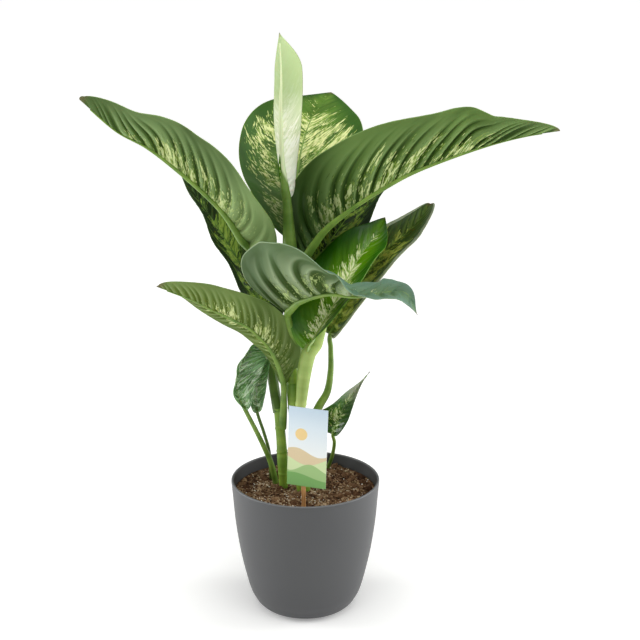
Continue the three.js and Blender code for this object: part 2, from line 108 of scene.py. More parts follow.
# Leaves, with angles in degrees. Rows start with a share of the rib, and numbers are eased from row to row.
# The last nine may be left out.
#   stalk    axis of the petiole from the cane up to the blade
#   radius   of the petiole at its foot and by the blade
#   rib      midrib from there to the tip
#   up       side that the upper surface faces
#   fold     rows: angles of the left and the right half from up
#   half     widest left and right half
#   widest   where they are, as a share of the rib
#   point    how drawn out the tip is
#   finish   materials of the upper side, the underside and the stalk
#   base     how pointed the blade is at its foot
#   cup      rows: how much further the left and the right half bend in by their margins
#   sweep    rows: how far the margin lies towards the tip, as a share of the half
#   lean     rows: how much the left and the right side veins run towards the tip on their way out
#   wave     height, count and phase of the margin's waves
#   veins    how far apart the side veins are, as a multiple of the usual
#   relief   how far they stand out, as a multiple of the usual
#   slim     radius of the midrib a third of the way along, as a share of the stalk's
#   ring     length along the stalk where it has a ring
LEAVES = {
    "leaf_spear": {
        "stalk": [[-17, 8, 432], [-19, 4, 484], [-21, 0, 517]], "radius": [9.3, 5.5],
        "rib": [[-25, -3, 557], [-27, -6, 609], [-26, -6, 661], [-28, -2, 708]],
        "up": [-0.2, 1, 0], "fold": [[0, -75, 30], [0.5, -97, 55], [1, -84, 44]],
        "cup": [[0, 40, 20], [1, 40, 20]], "half": [28, 10], "widest": 0.75, "point": 1.25, "base": 0.35,
        "relief": 0.3, "finish": ("new_upper", "new_under", "stalk_new"),
    },
    "leaf_back": {
        "stalk": [[-15, 14, 402], [-17, 26, 433], [-18, 36, 458]], "radius": [6, 4],
        "rib": [[-13, 56, 503], [-6, 86, 552], [8, 128, 590], [32, 182, 614]],
        "up": [0, -0.4, 1], "fold": [[0, -45, 78], [0.3, -90, 97], [1, -80, 78]],
        "cup": [[0, 0, 0], [0.5, 10, 10], [1, -20, -20]], "half": [77, 75], "widest": 0.5, "point": 1,
        "base": 0.92,
        "wave": [2, 2, 0], "lean": [[0, 0.25, 0.5], [0.5, 0.4, 1.2], [1, 0.8, 1.4]], "relief": 0.4,
        "finish": ("mature_upper", "mature_under", "stalk_green"),
    },
    "leaf_right": {
        "stalk": [[-11, 6, 392], [-7, 0, 420], [2, -6, 448]], "radius": [6, 5],
        "rib": [[20, -12, 479], [48, -16, 504], [87, -20, 531], [130, -24, 555], [198, -30, 581],
                [247, -34, 595], [289, -36, 602]],
        "up": [0, 0, 1],
        "fold": [[0, -55, -35], [0.3, -62, 2], [0.6, -62, 13], [0.69, -62, 2], [0.78, -62, 36], [1, -60, 45]],
        "half": [60, 72], "widest": 0.25, "point": 0.72, "wave": [3, 3, 0],
        "lean": [[0, 0.1, 0.1], [0.5, 1.2, 1.2], [1, 2.2, 2.2]],
        "finish": ("mature_upper", "shaded_under", "stalk_green"),
    },
    "leaf_left": {
        "stalk": [[-16, 0, 406], [-41, -6, 432], [-63, -14, 459]], "radius": [6, 5],
        "rib": [[-89, -30, 502], [-115, -44, 534], [-146, -58, 565], [-175, -70, 590], [-207, -84, 611],
                [-242, -100, 647]],
        "up": [0, 0, 1],
        "fold": [[0, -70, 62], [0.2, -58, 62], [0.5, -27, 60], [0.58, -22, 60], [0.74, -38, 60],
                 [0.87, -33, 60], [1, -43, 60]],
        "half": [54, 50], "widest": 0.22, "point": 0.53, "base": 0.7, "wave": [2, 3, 1],
        "sweep": [[0, -0.8], [0.3, 0.1], [1, 0.3]],
        "lean": [[0, 0.1, 0.1], [0.5, 1.2, 1.2], [1, 2.2, 2.2]],
        "finish": ("mature_upper", "mature_under", "stalk_green"),
    },
    "leaf_front": {
        "stalk": [[-8, 2, 330], [-16, -14, 360], [-20, -26, 383]], "radius": [6, 4.5],
        "rib": [[-11, -40, 400], [2, -54, 410], [29, -78, 423], [59, -100, 426], [94, -122, 437],
                [113, -133, 438], [125, -140, 416]],
        "up": [0, 0, 1],
        "fold": [[0, -45, 26], [0.18, -50, 36], [0.34, -88, 42], [0.58, -76, 57], [0.68, -62, 80],
                 [0.76, -60, 90], [0.86, -52, 98], [1, -50, 105]],
        "half": [48, 97], "widest": 0.29, "point": 1.4, "lean": [[0, -0.1, -0.1], [1, 1, 1]], "veins": 1.1,
        "relief": 1.1,
        "finish": ("dull_upper", "matt_under", "stalk_green"),
    },
    "leaf_glossy": {
        "stalk": [[-10, -4, 230], [-5, -12, 268], [-1, -16, 306], [5, -18, 334]], "radius": [5.5, 9],
        "rib": [[20, -20, 366], [37, -18, 397], [51, -14, 425], [67, -6, 451], [82, 6, 469], [95, 18, 490]],
        "up": [-0.3, -1, 0.2], "fold": [[0, -66, 5], [0.5, -100, 33], [1, -73, 85]],
        "half": [51, 42], "widest": 0.36, "point": 0.96, "wave": [2, 3, 0], "sweep": [[0, 0.1], [1, 0.3]],
        "relief": 0.25, "slim": 0.3, "ring": 38,
        "finish": ("fresh_upper", "mature_under", "stalk_pale"),
    },
    "leaf_right_mid": {
        "stalk": [[-5, -5, 207], [6, 2, 234], [17, 10, 256], [27, 16, 273], [31, 20, 299], [31, 26, 325],
                  [31, 30, 342]], "radius": [6, 3],
        "rib": [[48, 32, 374], [69, 36, 407], [96, 42, 442], [123, 50, 464], [139, 56, 480], [152, 64, 496]],
        "up": [-0.6, -0.6, 0.6], "fold": [[0, -45, 64], [0.5, -55, 65], [1, -90, 58]],
        "half": [27, 47], "widest": 0.56, "point": 0.5, "base": 0.42,
        "finish": ("curled_upper", "matt_under", "stalk_green"),
    },
    "leaf_right_back": {
        "stalk": [[-14, 10, 372], [-7, 24, 392], [1, 36, 413]], "radius": [5, 4],
        "rib": [[29, 60, 448], [58, 80, 485], [88, 98, 519], [114, 112, 547]],
        "up": [-0.3, -0.6, 0.8], "fold": [[0, -60, 82], [0.5, -65, 63], [1, -65, 57]],
        "half": [46, 51], "widest": 0.38, "point": 0.95, "wave": [2, 3, 2],
        "finish": ("old_upper", "mature_under", "stalk_green"),
    },
    "leaf_left_back": {
        "stalk": [[-33, 4, 250], [-37, 14, 272], [-41, 24, 298], [-43, 33, 328], [-45, 40, 354]],
        "radius": [6.3, 6.8],
        "rib": [[-71, 52, 408], [-97, 64, 450], [-123, 74, 489], [-152, 86, 528]],
        "up": [0.3, -0.6, 0.8], "fold": [[0, -54, 60], [0.5, -50, 65], [1, -45, 60]],
        "half": [45, 44], "widest": 0.38, "point": 0.9, "wave": [2, 3, 1],
        "finish": ("old_upper", "mature_under", "stalk_dark"),
    },
    "leaf_left_low": {
        "stalk": [[-28, 3, 230], [-26, -4, 262], [-26, -12, 291]], "radius": [5.2, 3.4],
        "rib": [[-31, -18, 315], [-40, -26, 338], [-52, -38, 357], [-66, -52, 375], [-85, -70, 391],
                [-109, -92, 410], [-129, -112, 427], [-160, -140, 448]],
        "up": [0, 0, 1], "fold": [[0, -8, 95], [0.5, -28, 138], [1, -48, 75]],
        "half": [39, 13], "widest": 0.26, "point": 0.42, "relief": 0.7,
        "finish": ("mature_upper", "olive_under", "stalk_green"),
    },
    "leaf_small_left": {
        "stalk": [[-34, 22, 128], [-37, 18, 152], [-43, 12, 182], [-51, 6, 205], [-61, 0, 230],
                  [-72, -4, 255]], "radius": [4, 2.6],
        "rib": [[-81, -6, 277], [-82, -4, 294], [-75, 0, 315], [-64, 4, 330], [-51, 8, 336]],
        "up": [0.2, -1, 0.2], "fold": [[0, -42, 40], [0.5, -21, 86], [1, -40, 70]],
        "half": [11, 27], "widest": 0.42, "point": 0.35, "base": 0.9, "wave": [2, 3, 0], "relief": 0.9,
        "finish": ("young_upper", "mature_under", "stalk_green"),
    },
    "leaf_small_right": {
        "stalk": [[24, 66, 128], [27, 64, 150], [33, 56, 171], [36, 40, 196], [34, 30, 212]],
        "radius": [2.5, 2.2],
        "rib": [[38, 26, 227], [44, 22, 244], [51, 22, 257], [61, 26, 270], [79, 34, 292]],
        "up": [-0.3, -1, 0.2], "fold": [[0, -100, 60], [0.5, -20, 90], [1, -25, 66]],
        "half": [29, 13], "widest": 0.28, "point": 2.3,
        "finish": ("offset_upper", "matt_under", "stalk_green"),
    },
    "leaf_young_left": {
        "stalk": [[-42, 32, 128], [-43, 30, 153], [-45, 22, 191], [-51, 18, 218], [-59, 14, 247]],
        "radius": [2.2, 2],
        "rib": [[-60, 14, 268], [-55, 16, 293], [-43, 22, 316]],
        "up": [0.2, -1, 0.2], "fold": [[0, -50, 60], [1, -50, 60]],
        "half": [12, 12], "widest": 0.4, "point": 0.9,
        "finish": ("young_upper", "mature_under", "stalk_dark"),
    },
}

# Small blades that belong to no leaf of their own, with the same values: the green margin that the rolled
# leaf leaves free, and the loose end of a sheath
TRIMS = {
    "rolled_margin": {
        "stalk": [[-23, -5, 518], [-24, -6.2, 526]], "radius": [0.7, 0.7],
        "rib": [[-27, -6.6, 541], [-28.4, -7, 556], [-28, -6.6, 572]],
        "up": [-0.3, -1, 0], "fold": [[0, -80, 80], [1, -80, 80]],
        "half": [1.9, 1.9], "widest": 0.45, "point": 0.8, "relief": 0,
        "finish": ("fresh_upper", "fresh_upper", "stalk_dark"),
    },
    "sheath_end": {
        "stalk": [[4, -2, 226], [8, 1, 234]], "radius": [1.2, 1.2],
        "rib": [[12, 4, 240], [16, 6, 244], [20, 8, 248]],
        "up": [-0.6, -1, 0.6], "fold": [[0, -60, 60], [1, -80, 80]],
        "half": [4, 4], "widest": 0.3, "point": 1.2, "relief": 0,
        "finish": ("stem_skin", "stem_skin", "stalk_green"),
    },
}

# Pot: radius and height on its outside, from the foot up to the lip
POT_PROFILE = [[46, 0], [54, 2], [60, 7], [64, 13], [69.5, 25], [76.7, 53], [82.2, 81], [86.7, 113],
               [89.4, 145], [91, 163.5]]
POT_WALL = 3
POT_FLOOR = 4
POT_FLOOR_RADIUS = 50
POT_FLOOR_EASE = 2      # height over which the floor runs into the wall
POT_RADIUS = 91
POT_HEIGHT = 166
POT_STEP = 8            # every how many of the line's points the profile has one
LIP_POINTS = 13         # of the lip's half turn, with the two where it meets the walls
LIP_HIGHLIGHT = (1.6, 0.9)     # depths below the top between which the painted highlight on the lip begins
GAP = 0.3

# Compost
SOIL_LEVEL = 152
SOIL_CROWN = 2
SOIL_SINK = 1.2         # how far the body lies below that level, so that the crumbs on it reach it
SOIL_RADIUS = 86
SOIL_COLUMNS = 150
SOIL_RINGS = 46
SOIL_EDGE = 3           # width of the strip along the pot where it gets flat, and of the one without crumbs
SOIL_BARE = 2
SOIL_TONE = 0.42        # how light the compost is, from 0 to 1
# Swells, lumps and drifts of tone: how wide they are, the height at which their noise is read, and for the
# first two its roughness, how much finer each octave is, and octaves
SOIL_SWELL = (16, 3.0, 1.0, 2.1, 4)
SOIL_LUMP = (4, 9.0, 0.9, 2.2, 3)
SOIL_DRIFT = (22, 6.0)
LUMP_HEIGHT = 0.5       # of a lump, as a share of a swell's
LUMP_TONE = 0.12        # how much lighter lumps and drifts make it
DRIFT_TONE = 0.22
# Lighter and darker spots: x, y, radius and how much lighter
SOIL_PATCHES = [(-38, -62, 18, 0.3), (-62, 20, 22, -0.15), (52, 30, 24, -0.2), (30, -62, 20, 0.2)]
# What is strewn on it: its name, how often its ball is subdivided, least and most stretch, how much
# lighter it is at least and at most, and how many there are to a square metre and how large they are
STREWN = [
    ("Clump", 2, (0.8, 0.7, 0.4), (1.6, 1.3, 0.8), (-0.15, 0.12), 2500.0, 0.005),
    ("Crumb", 1, (0.6, 0.6, 0.4), (1.6, 1.4, 1.1), (-0.32, 0.5), 1.3e5, 0.0015),
    ("Chip", 1, (0.8, 0.5, 0.2), (2.0, 1.2, 0.5), (-0.3, 0.35), 1.1e4, 0.0034),
    ("Fibre", 1, (0.9, 0.1, 0.1), (2.4, 0.2, 0.2), (0.1, 0.5), 1.6e4, 0.0032),
    ("Grit", 1, (0.5, 0.5, 0.4), (1.1, 1.0, 0.9), (0.6, 0.9), 6e3, 0.0014),
]
STREWN_TILT = 0.5       # how far a crumb leans at most, in radians

# Plant label. faces: how many the card has across and up
CARD = {"width": 48, "height": 99, "centre": (3, -67, 231.5), "yaw": -16.6, "roll": -1.8, "faces": (12, 20)}
CARD_BACK = 0.4         # how far behind the card's middle its bowed back reaches by the stick
STICK = {"width": 5, "thickness": 2, "x": -2, "bottom": 112, "top": 268, "ease": 0.35, "round": 2.5}
STICK_LEVELS = 40
STICK_ROUND_ANGLES = (0.4, 0.8, 1.2, 1.5)
# Hills printed on the card, each filled below its edge: base height, swell, swells across the card, phase
# and colour
HILLS = [(0.44, 0.05, 5.0, 0.6, "#dcc8a0"), (0.34, 0.06, 4.2, 2.6, "#cfe0a8"),
         (0.24, 0.05, 6.0, 4.4, "#9cc07a"), (0.13, 0.04, 3.6, 1.0, "#6fa552")]
HILL_EDGE = 0.006
# Sun: its place on the card, the radii where it is whole and where its edge ends, and how many times as
# high as wide the card is
SUN_PLACE = (0.34, 0.66, 1.0)
SUN_RADIUS = 0.15
SUN_EDGE = 0.16
CARD_ASPECT = 2.06

# Studio, in metres
FLOOR_HALF = 20.0
FLOOR_FADE = (0.2, 1.8)     # from the pot's axis, where the glow starts to grow and where it is whole
POT_SHADE = (0.07, 0.19)    # where the floor's glow is cut further, as a painted shadow round the pot's foot
POT_SHADE_SHARE = 0.35
# Softboxes: name, place, size and the setting that holds their power
SOFTBOXES = [("key_above", (0.12, -0.55, 1.85), (1.5, 1.3), "key"),
             ("side_left", (-1.4, 0.15, 0.42), (0.6, 1.2), "sides"),
             ("side_right", (1.4, 0.15, 0.42), (0.6, 1.2), "sides")]
LIGHT_AIM = (0, 0, 0.3)
CAMERA_PLACE = (0.018, -1.774, 0.895)
CAMERA_PITCH = 16.53        # degrees down from level
CAMERA_LENS = 87.19
CAMERA_SENSOR = 36


# Colours and nodes

def linear(code):
    """Linear colour of an sRGB hex value."""
    channels = [int(code[i:i + 2], 16) / 255 for i in (1, 3, 5)]
    return (*(c / 12.92 if c <= 0.04045 else ((c + 0.055) / 1.055) ** 2.4 for c in channels), 1.0)


def add_node(tree, kind, *inputs, output=0, **settings):
    """Adds a node with its settings and gives its output with a name or number, or the node itself for None.
    inputs are values or sockets to link, or lists of these, in the order of the node's own, or else one
    dictionary of them by name."""
    node = tree.nodes.new(kind)
    for key, value in settings.items():
        setattr(node, key, value)
    named = inputs[0] if inputs and isinstance(inputs[0], dict) else dict(enumerate(inputs))
    for key, value in named.items():
        for one in value if isinstance(value, list) else [value]:
            if isinstance(one, bpy.types.NodeSocket):
                tree.links.new(one, node.inputs[key])
            else:
                node.inputs[key].default_value = one
    return node if output is None else node.outputs[output]


def new_material(name):
    """Material without nodes, and the function that adds one to it."""
    material = bpy.data.materials.new(name)
    material.use_nodes = True
    material.node_tree.nodes.clear()
    return material, partial(add_node, material.node_tree)


def coated(add, colour, coats):
    """Colour under coats that come in as some level rises or falls. Each coat is the level, where it starts,
    where it is whole, how much it covers then, and its colour in hex or linear."""
    for level, start, whole, most, code in coats:
        cover = add("ShaderNodeMapRange", level, start, whole, 0.0, most)
        above = linear(code) if isinstance(code, str) else code
        colour = add("ShaderNodeMix", {"Factor": cover, "A": colour, "B": above}, output="Result",
                     data_type="RGBA")
    return colour


# Materials. Blades and stalks read the attribute "surface", in metres. On a blade it is how far up the
# midrib the side vein through a point starts, and how far out from the midrib the point lies. On a stalk it
# is the length run, and the place on the section.

# Noises on a blade: features to a metre along the midrib and out from it, detail and roughness
BLADE_NOISES = {
    "clouds": ((26, 18, 1), 3.0, 0.5),
    "patches": ((60, 28, 1), 2.0, 0.5),
    "rags": ((760, 300, 1), 1.0, 0.5),
    "spots": ((210, 90, 1), 2.0, 0.5),
    "holes": ((330, 150, 1), 1.0, 0.5),
    "fine veins": ((620, 30, 1), 1.0, 0.5),
    "puckers": ((150, 95, 1), 1.0, 0.5),
}
SPLASH_MIX = [("patches", 0.38), ("streaks", 0.4), ("rags", 0.22)]
DRY_TIP = "#6b5d42"

# Looks of the blades. The last nine may be left out.
#   near, far   colour by the midrib and towards the margin
#   deep        colour of clouds, hollows and the dark spots round the splashes; in an underside's hollows, painted shade
#   mid, fleck  colour of the splashes' edges and of their middles
#   vein        colour of the side veins, partly a painted highlight on an underside
#   cover       how much is splashed, from about -0.06 to 0.03
#   spread      share of the way out to the margin where splashes get rare
#   grain       streaks to a metre along the midrib and out from it
#   roughness, coat     of the surface
#   ridge       how strongly veins and hollows are drawn, as painted highlight and shade on an underside
#   falloff     how suddenly the splashes get rare there
#   follow      how much they keep to the veins
#   bare        how much fewer they are near the stalk
#   gloss       specular level
#   fine        strength of the fine veins
#   pucker      strength of the puckers
#   root, tip, edge     share of the rib, or of the way out, where another colour starts near the stalk,
#                       towards the tip or along the margin, and that colour
BLADES = {
    # Upper side of a full-grown leaf: cellulose under a waxy skin, satin rather than shiny. Green with
    # cream splashes that run along the side veins and thin out before the margin.
    "mature_upper": {"near": "#5f8630", "far": "#3d6622", "deep": "#26430f", "mid": "#93b04e",
                     "fleck": "#e2e8a2", "vein": "#86a450", "cover": 0.026, "spread": 0.84, "falloff": 3.5,
                     "grain": (360, 95), "roughness": 0.46, "coat": 0.0, "ridge": 0.15,
                     "root": (0.5, "#223a0c"), "bare": 0.08},
    # Upper side in the shade of the plant, painted as a darkened copy: near black green with olive blotches
    # between the veins.
    "old_upper": {"near": "#293e16", "far": "#2a3f22", "deep": "#131f09", "mid": "#5a7a30",
                  "fleck": "#8aa444", "vein": "#587638", "cover": 0.008, "spread": 1.0, "grain": (130, 55),
                  "roughness": 0.45, "gloss": 0.12, "coat": 0.0, "ridge": 0.45},
    # The same with more yellow, and a pale band along the margin, partly the pale underside of a curl and
    # partly a painted highlight.
    "curled_upper": {"near": "#526c2a", "far": "#4a6238", "deep": "#202f0e", "mid": "#7d9236",
                     "fleck": "#b2be5a", "vein": "#869c4c", "cover": 0.03, "spread": 1.0,
                     "grain": (190, 50), "roughness": 0.42, "gloss": 0.15, "coat": 0.0, "ridge": 0.45,
                     "edge": (0.84, "#b9c2a6")},
    # Upper side of a leaf that has just hardened: saturated green with a wet gloss, cream by the midrib.
    "fresh_upper": {"near": "#659a0c", "far": "#2c6206", "deep": "#1e4804", "mid": "#b2cf68",
                    "fleck": "#f4fac8", "vein": "#6a9a24", "cover": 0.024, "spread": 0.42,
                    "grain": (210, 60), "roughness": 0.32, "coat": 0.12, "ridge": 0.06, "fine": 0.03,
                    "gloss": 0.18, "pucker": 0.12},
    # Upper side of a leaf turned over at its tip: blue-green, duller, with thin cream streaks.
    "dull_upper": {"near": "#64825a", "far": "#6c8a76", "deep": "#4e6c58", "mid": "#8ea470",
                   "fleck": "#ccd8a8", "vein": "#8aa47e", "cover": -0.02, "spread": 0.6,
                   "grain": (420, 50), "roughness": 0.45, "coat": 0.0, "ridge": 0.2},
    # Upper side of an offset's leaf: glossy, and puckered so that its ridges shine; its light colours, pale
    # flecks and veins are partly painted highlights.
    "young_upper": {"near": "#669a4c", "far": "#70a45e", "deep": "#2f5a26", "mid": "#84b46c",
                    "fleck": "#c4deb6", "vein": "#a8cc9a", "cover": 0.0, "spread": 1.2,
                    "grain": (260, 110), "roughness": 0.25, "coat": 1.0, "ridge": 0.35, "fine": 0.1,
                    "pucker": 1.0},
    # The same on the shoot at the back, with a dry grey tip that is still rolled up.
    "offset_upper": {"near": "#3f6c1e", "far": "#3a6626", "deep": "#1a3a10", "mid": "#8fb058",
                     "fleck": "#cfe0a2", "vein": "#6f9444", "cover": 0.002, "spread": 0.6,
                     "grain": (380, 120), "roughness": 0.24, "coat": 0.5, "ridge": 0.3, "fine": 0.1,
                     "pucker": 0.5, "tip": (0.5, "#9da38a")},
    # Sheath: the same skin as the stalks.
    "stem_skin": {"near": "#8cac48", "far": "#86a646", "deep": "#6a8c30", "mid": "#93b34a",
                  "fleck": "#a4c060", "vein": "#a8c468", "cover": -0.06, "spread": 1.0, "grain": (300, 60),
                  "roughness": 0.38, "coat": 0.1, "ridge": 0.1},
    # The leaf that is still rolled has hardly any chlorophyll: cream below, a green breath towards the tip
    # and a dark line along the margin.
    "new_upper": {"near": "#8aa860", "far": "#8aa860", "deep": "#7d9c4c", "mid": "#b9cd90",
                  "fleck": "#dfe7c4", "vein": "#c8d8a4", "cover": 0.02, "spread": 1.6, "grain": (240, 60),
                  "roughness": 0.45, "coat": 0.0, "ridge": 0.1},
    "new_under": {"near": "#f0f5d8", "far": "#e2ecc4", "deep": "#c2d29c", "mid": "#ebf1cc",
                  "fleck": "#fafde8", "vein": "#eef3d4", "cover": 0.006, "spread": 1.2,
                  "grain": (260, 130), "roughness": 0.5, "coat": 0.0, "ridge": 0.15,
                  "root": (0.4, "#fbfdec"), "tip": (0.45, "#a5bd80"), "edge": (0.96, "#8d9a64")},
    # Undersides have hardly any gloss: duller and greyer, with raised side veins whose paler colour is partly
    # a painted highlight, hollows between them in painted olive shade, and splashes close to the midrib.
    "mature_under": {"near": "#48661c", "far": "#6c8650", "deep": "#2a420e", "mid": "#86a046",
                     "fleck": "#d2de9c", "vein": "#9cb87c", "cover": -0.016, "spread": 0.64,
                     "follow": 0.03, "root": (0.34, "#93ac6c"), "tip": (0.76, "#465f2a"),
                     "grain": (420, 110), "roughness": 0.6, "gloss": 0.15, "coat": 0.0, "ridge": 0.8},
    # Where the blade hangs over the plant, its broad end is in shade, painted as a darker colour by the
    # stalk.
    "shaded_under": {"near": "#426018", "far": "#638040", "deep": "#233c08", "mid": "#84a042",
                     "fleck": "#d6e2a0", "vein": "#90ae6a", "cover": -0.018, "spread": 0.62, "follow": 0.045,
                     "grain": (300, 90), "roughness": 0.6, "gloss": 0.15, "coat": 0.0, "ridge": 0.75,
                     "root": (0.36, "#203c0a")},
    # Lowest leaves, which are the oldest, turn olive.
    "olive_under": {"near": "#5a7022", "far": "#6c8244", "deep": "#3a5212", "mid": "#93a656",
                    "fleck": "#ccd898", "vein": "#9db078", "cover": -0.02, "spread": 0.64,
                    "grain": (440, 120), "roughness": 0.6, "gloss": 0.15, "coat": 0.0, "ridge": 0.5,
                    "root": (0.22, "#4c6424")},
    # Greyer and duller still, with few splashes, where an underside is turned up to the light.
    "matt_under": {"near": "#3c541a", "far": "#506840", "deep": "#2b420e", "mid": "#788e4c",
                   "fleck": "#a4b676", "vein": "#b2c49c", "cover": -0.045, "spread": 0.6,
                   "grain": (560, 110), "roughness": 0.6, "gloss": 0.15, "coat": 0.0, "ridge": 0.6},
}


def blade_material(name, look):
    """Waxy leaf: body colour from midrib to margin, side veins with painted shade in the underside's hollows,
    and splashes drawn out along them.
    """
    material, add = new_material(f"waxy_leaf_{name}")
    surface = add("ShaderNodeAttribute", output="Vector", attribute_name="surface")
    reach, along, phase = [add("ShaderNodeAttribute", output="Fac", attribute_name=title)
                           for title in ("reach", "along", "phase")]
    noises = {}
    kinds = {**BLADE_NOISES, "streaks": ((*look["grain"], 1), 2.0, 0.55)}
    for title, (scale, detail, rough) in kinds.items():
        place = add("ShaderNodeMapping", {"Vector": surface, "Scale": scale})
        noises[title] = add("ShaderNodeTexNoise", {"Vector": place, "Scale": 1, "Detail": detail,
                                                   "Roughness": rough})
    # Side veins with hollows between them, both fading out by the margin. part is 0 in a hollow, 1 on a vein
    half_turn = add("ShaderNodeMath", phase, 0.5, operation="PINGPONG")
    part = add("ShaderNodeMath", half_turn, 2.0, operation="MULTIPLY")
    fade = add("ShaderNodeMapRange", reach, 0.9, 0.45, 0.0, look["ridge"])
    # Splashes: streaks of about 3 x 12 mm in patches of 16 x 35 mm, with ragged edges
    level = 0.0
    for title, weight in SPLASH_MIX:
        level = add("ShaderNodeMath", noises[title], weight, level, operation="MULTIPLY_ADD")
    on_vein = add("ShaderNodeMath", part, 0.5, operation="SUBTRACT")
    level = add("ShaderNodeMath", on_vein, look.get("follow", 0.0), level, operation="MULTIPLY_ADD")
    level = add("ShaderNodeMath", level, look["cover"], operation="ADD")
    # Fewer of them out by the margin, towards the tip and by the stalk
    root, root_code = look.get("root", (0.1, look["near"]))
    tip, tip_code = look.get("tip", (0.97, DRY_TIP))
    edge, edge_code = look.get("edge", (0.985, look["vein"]))
    beyond = add("ShaderNodeMath", reach, look["spread"], operation="DIVIDE")
    outward = add("ShaderNodeMath", beyond, look.get("falloff", 2.0), operation="POWER")
    by_tip = add("ShaderNodeMapRange", along, 0.6, 1.0, 0.0, 0.17)
    by_stalk = add("ShaderNodeMapRange", along, root, 0.0, 0.0, look.get("bare", 0.0))
    less = add("ShaderNodeMath", outward, 0.1, by_tip, operation="MULTIPLY_ADD")
    less = add("ShaderNodeMath", less, by_stalk, operation="ADD")
    splash = add("ShaderNodeMath", level, less, operation="SUBTRACT")
    zone = add("ShaderNodeMapRange", splash, 0.43, 0.47, 0.0, 0.6)
    whole = add("ShaderNodeMapRange", noises["holes"], 0.38, 0.52)
    colour = coated(add, linear(look["near"]), [
        (reach, 0.25, 0.8, 1.0, look["far"]),
        (noises["clouds"], 0.42, 0.66, 0.55, look["deep"]),
        # Hollows darker, veins paler: on an underside this is painted shade, and partly a painted highlight
        # on the veins
        (part, 0.5, 0.1, fade, look["deep"]),
        (part, 0.6, 0.97, fade, look["vein"]),
        (noises["spots"], 0.47, 0.55, zone, look["deep"]),
        (splash, 0.474, 0.494, 0.85, look["mid"]),
        (splash, 0.492, 0.515, whole, look["fleck"]),
        # Another colour near the stalk, which on the shaded underside is painted shade
        (along, root, root * 0.3, 0.8, root_code),
        (along, tip, tip + 0.2, 0.85, tip_code),
        (reach, edge, edge + 0.015, 0.7, edge_code),
        (along, 0.97, 1.0, 0.8, DRY_TIP),
    ])
    # Fine veins between the side veins, about 1.2 mm apart, drawn 1.6 mm apart so that they show
    veined = add("ShaderNodeBump", {"Height": noises["fine veins"], "Strength": look.get("fine", 0.3),
                                    "Distance": 0.0004})
    # Puckers between the side veins, about 7 x 11 mm
    puckered = add("ShaderNodeBump", {"Height": noises["puckers"], "Normal": veined,
                                      "Strength": look.get("pucker", 0.0), "Distance": 0.012})
    shader = add("ShaderNodeBsdfPrincipled", {
        "Base Color": colour, "Roughness": look["roughness"], "Specular IOR Level": look.get("gloss", 0.15),
        "Coat Weight": look["coat"], "Coat Roughness": 0.14, "Subsurface Weight": 0.06,
        "Subsurface Scale": 0.002, "Normal": puckered})
    add("ShaderNodeOutputMaterial", shader, output=None)
    return material


# Fleshy petioles and canes, smooth and faintly streaked lengthwise: a satin sheen over pale green. top, on
# the newest leaf's sheath, is the cream of the rolled blade above it, and height and slope of the slant that
# the green ends in.
STALKS = {
    "stalk_green": {"light": "#84a246", "dark": "#517628"},
    "stalk_pale": {"light": "#b2c872", "dark": "#84a248"},
    "stalk_dark": {"light": "#5c7a30", "dark": "#3a5418"},
    "stalk_new": {"light": "#7f9e4a", "dark": "#587c2e", "top": ("#d6e2b2", 0.498, 2.04)},
}
CANE_LOOK = {"light": "#8aaa3c", "dark": "#527a1e"}
SLANT_EDGE = 0.003


def stalk_material(name, look):
    """Fleshy stalk: streaks of about 1.5 x 25 mm that run along it."""
    material, add = new_material(f"fleshy_{name}")
    surface = add("ShaderNodeAttribute", output="Vector", attribute_name="surface")
    place = add("ShaderNodeMapping", {"Vector": surface, "Scale": (40, 650, 650)})
    streak = add("ShaderNodeTexNoise", {"Vector": place, "Scale": 1, "Detail": 3})
    colour = coated(add, linear(look["dark"]), [(streak, 0.3, 0.65, 1.0, look["light"])])
    if "top" in look:
        top, height, slope = look["top"]
        place = add("ShaderNodeTexCoord", output="Object")
        x, _, z = add("ShaderNodeSeparateXYZ", place, output=None).outputs
        above = add("ShaderNodeMath", x, slope, z, operation="MULTIPLY_ADD")
        colour = coated(add, colour, [(above, height - SLANT_EDGE, height + SLANT_EDGE, 1.0, top)])
    bump = add("ShaderNodeBump", {"Height": streak, "Strength": 0.2, "Distance": 0.0005})
    shader = add("ShaderNodeBsdfPrincipled", {
        "Base Color": colour, "Roughness": 0.42, "Specular IOR Level": 0.3, "Coat Weight": 0.05,
        "Coat Roughness": 0.2, "Subsurface Weight": 0.12, "Subsurface Scale": 0.003, "Normal": bump})
    add("ShaderNodeOutputMaterial", shader, output=None)
    return material


def pot_material(colour):
    """Injection-moulded polypropylene with a fine matt grain: dull grey, soft wide highlights, and a painted
    highlight along the lip.
    """
    material, add = new_material("moulded_polypropylene")
    place = add("ShaderNodeTexCoord", output="Object")
    drift = add("ShaderNodeTexNoise", {"Vector": place, "Scale": 14, "Detail": 2})
    darker = (*(channel * 0.92 for channel in colour[:3]), 1)
    height = add("ShaderNodeSeparateXYZ", place, output=2)
    # Painted highlight: the lip is coloured lighter where it would catch the light
    highlight_foot, top = [(POT_HEIGHT - depth) * MM for depth in LIP_HIGHLIGHT]
    body = coated(add, darker, [(drift, 0.0, 1.0, 1.0, colour), (height, highlight_foot, top, 0.7, "#77797b")])
    # Mould grain of 0.3 mm, drawn 0.6 mm wide so that it shows
    grain = add("ShaderNodeTexNoise", {"Vector": place, "Scale": 1600, "Detail": 1})
    bump = add("ShaderNodeBump", {"Height": grain, "Strength": 0.06, "Distance": 0.0002})
    shader = add("ShaderNodeBsdfPrincipled", {"Base Color": body, "Roughness": 0.5, "IOR": 1.49,
                                              "Normal": bump})
    add("ShaderNodeOutputMaterial", shader, output=None)
    return material


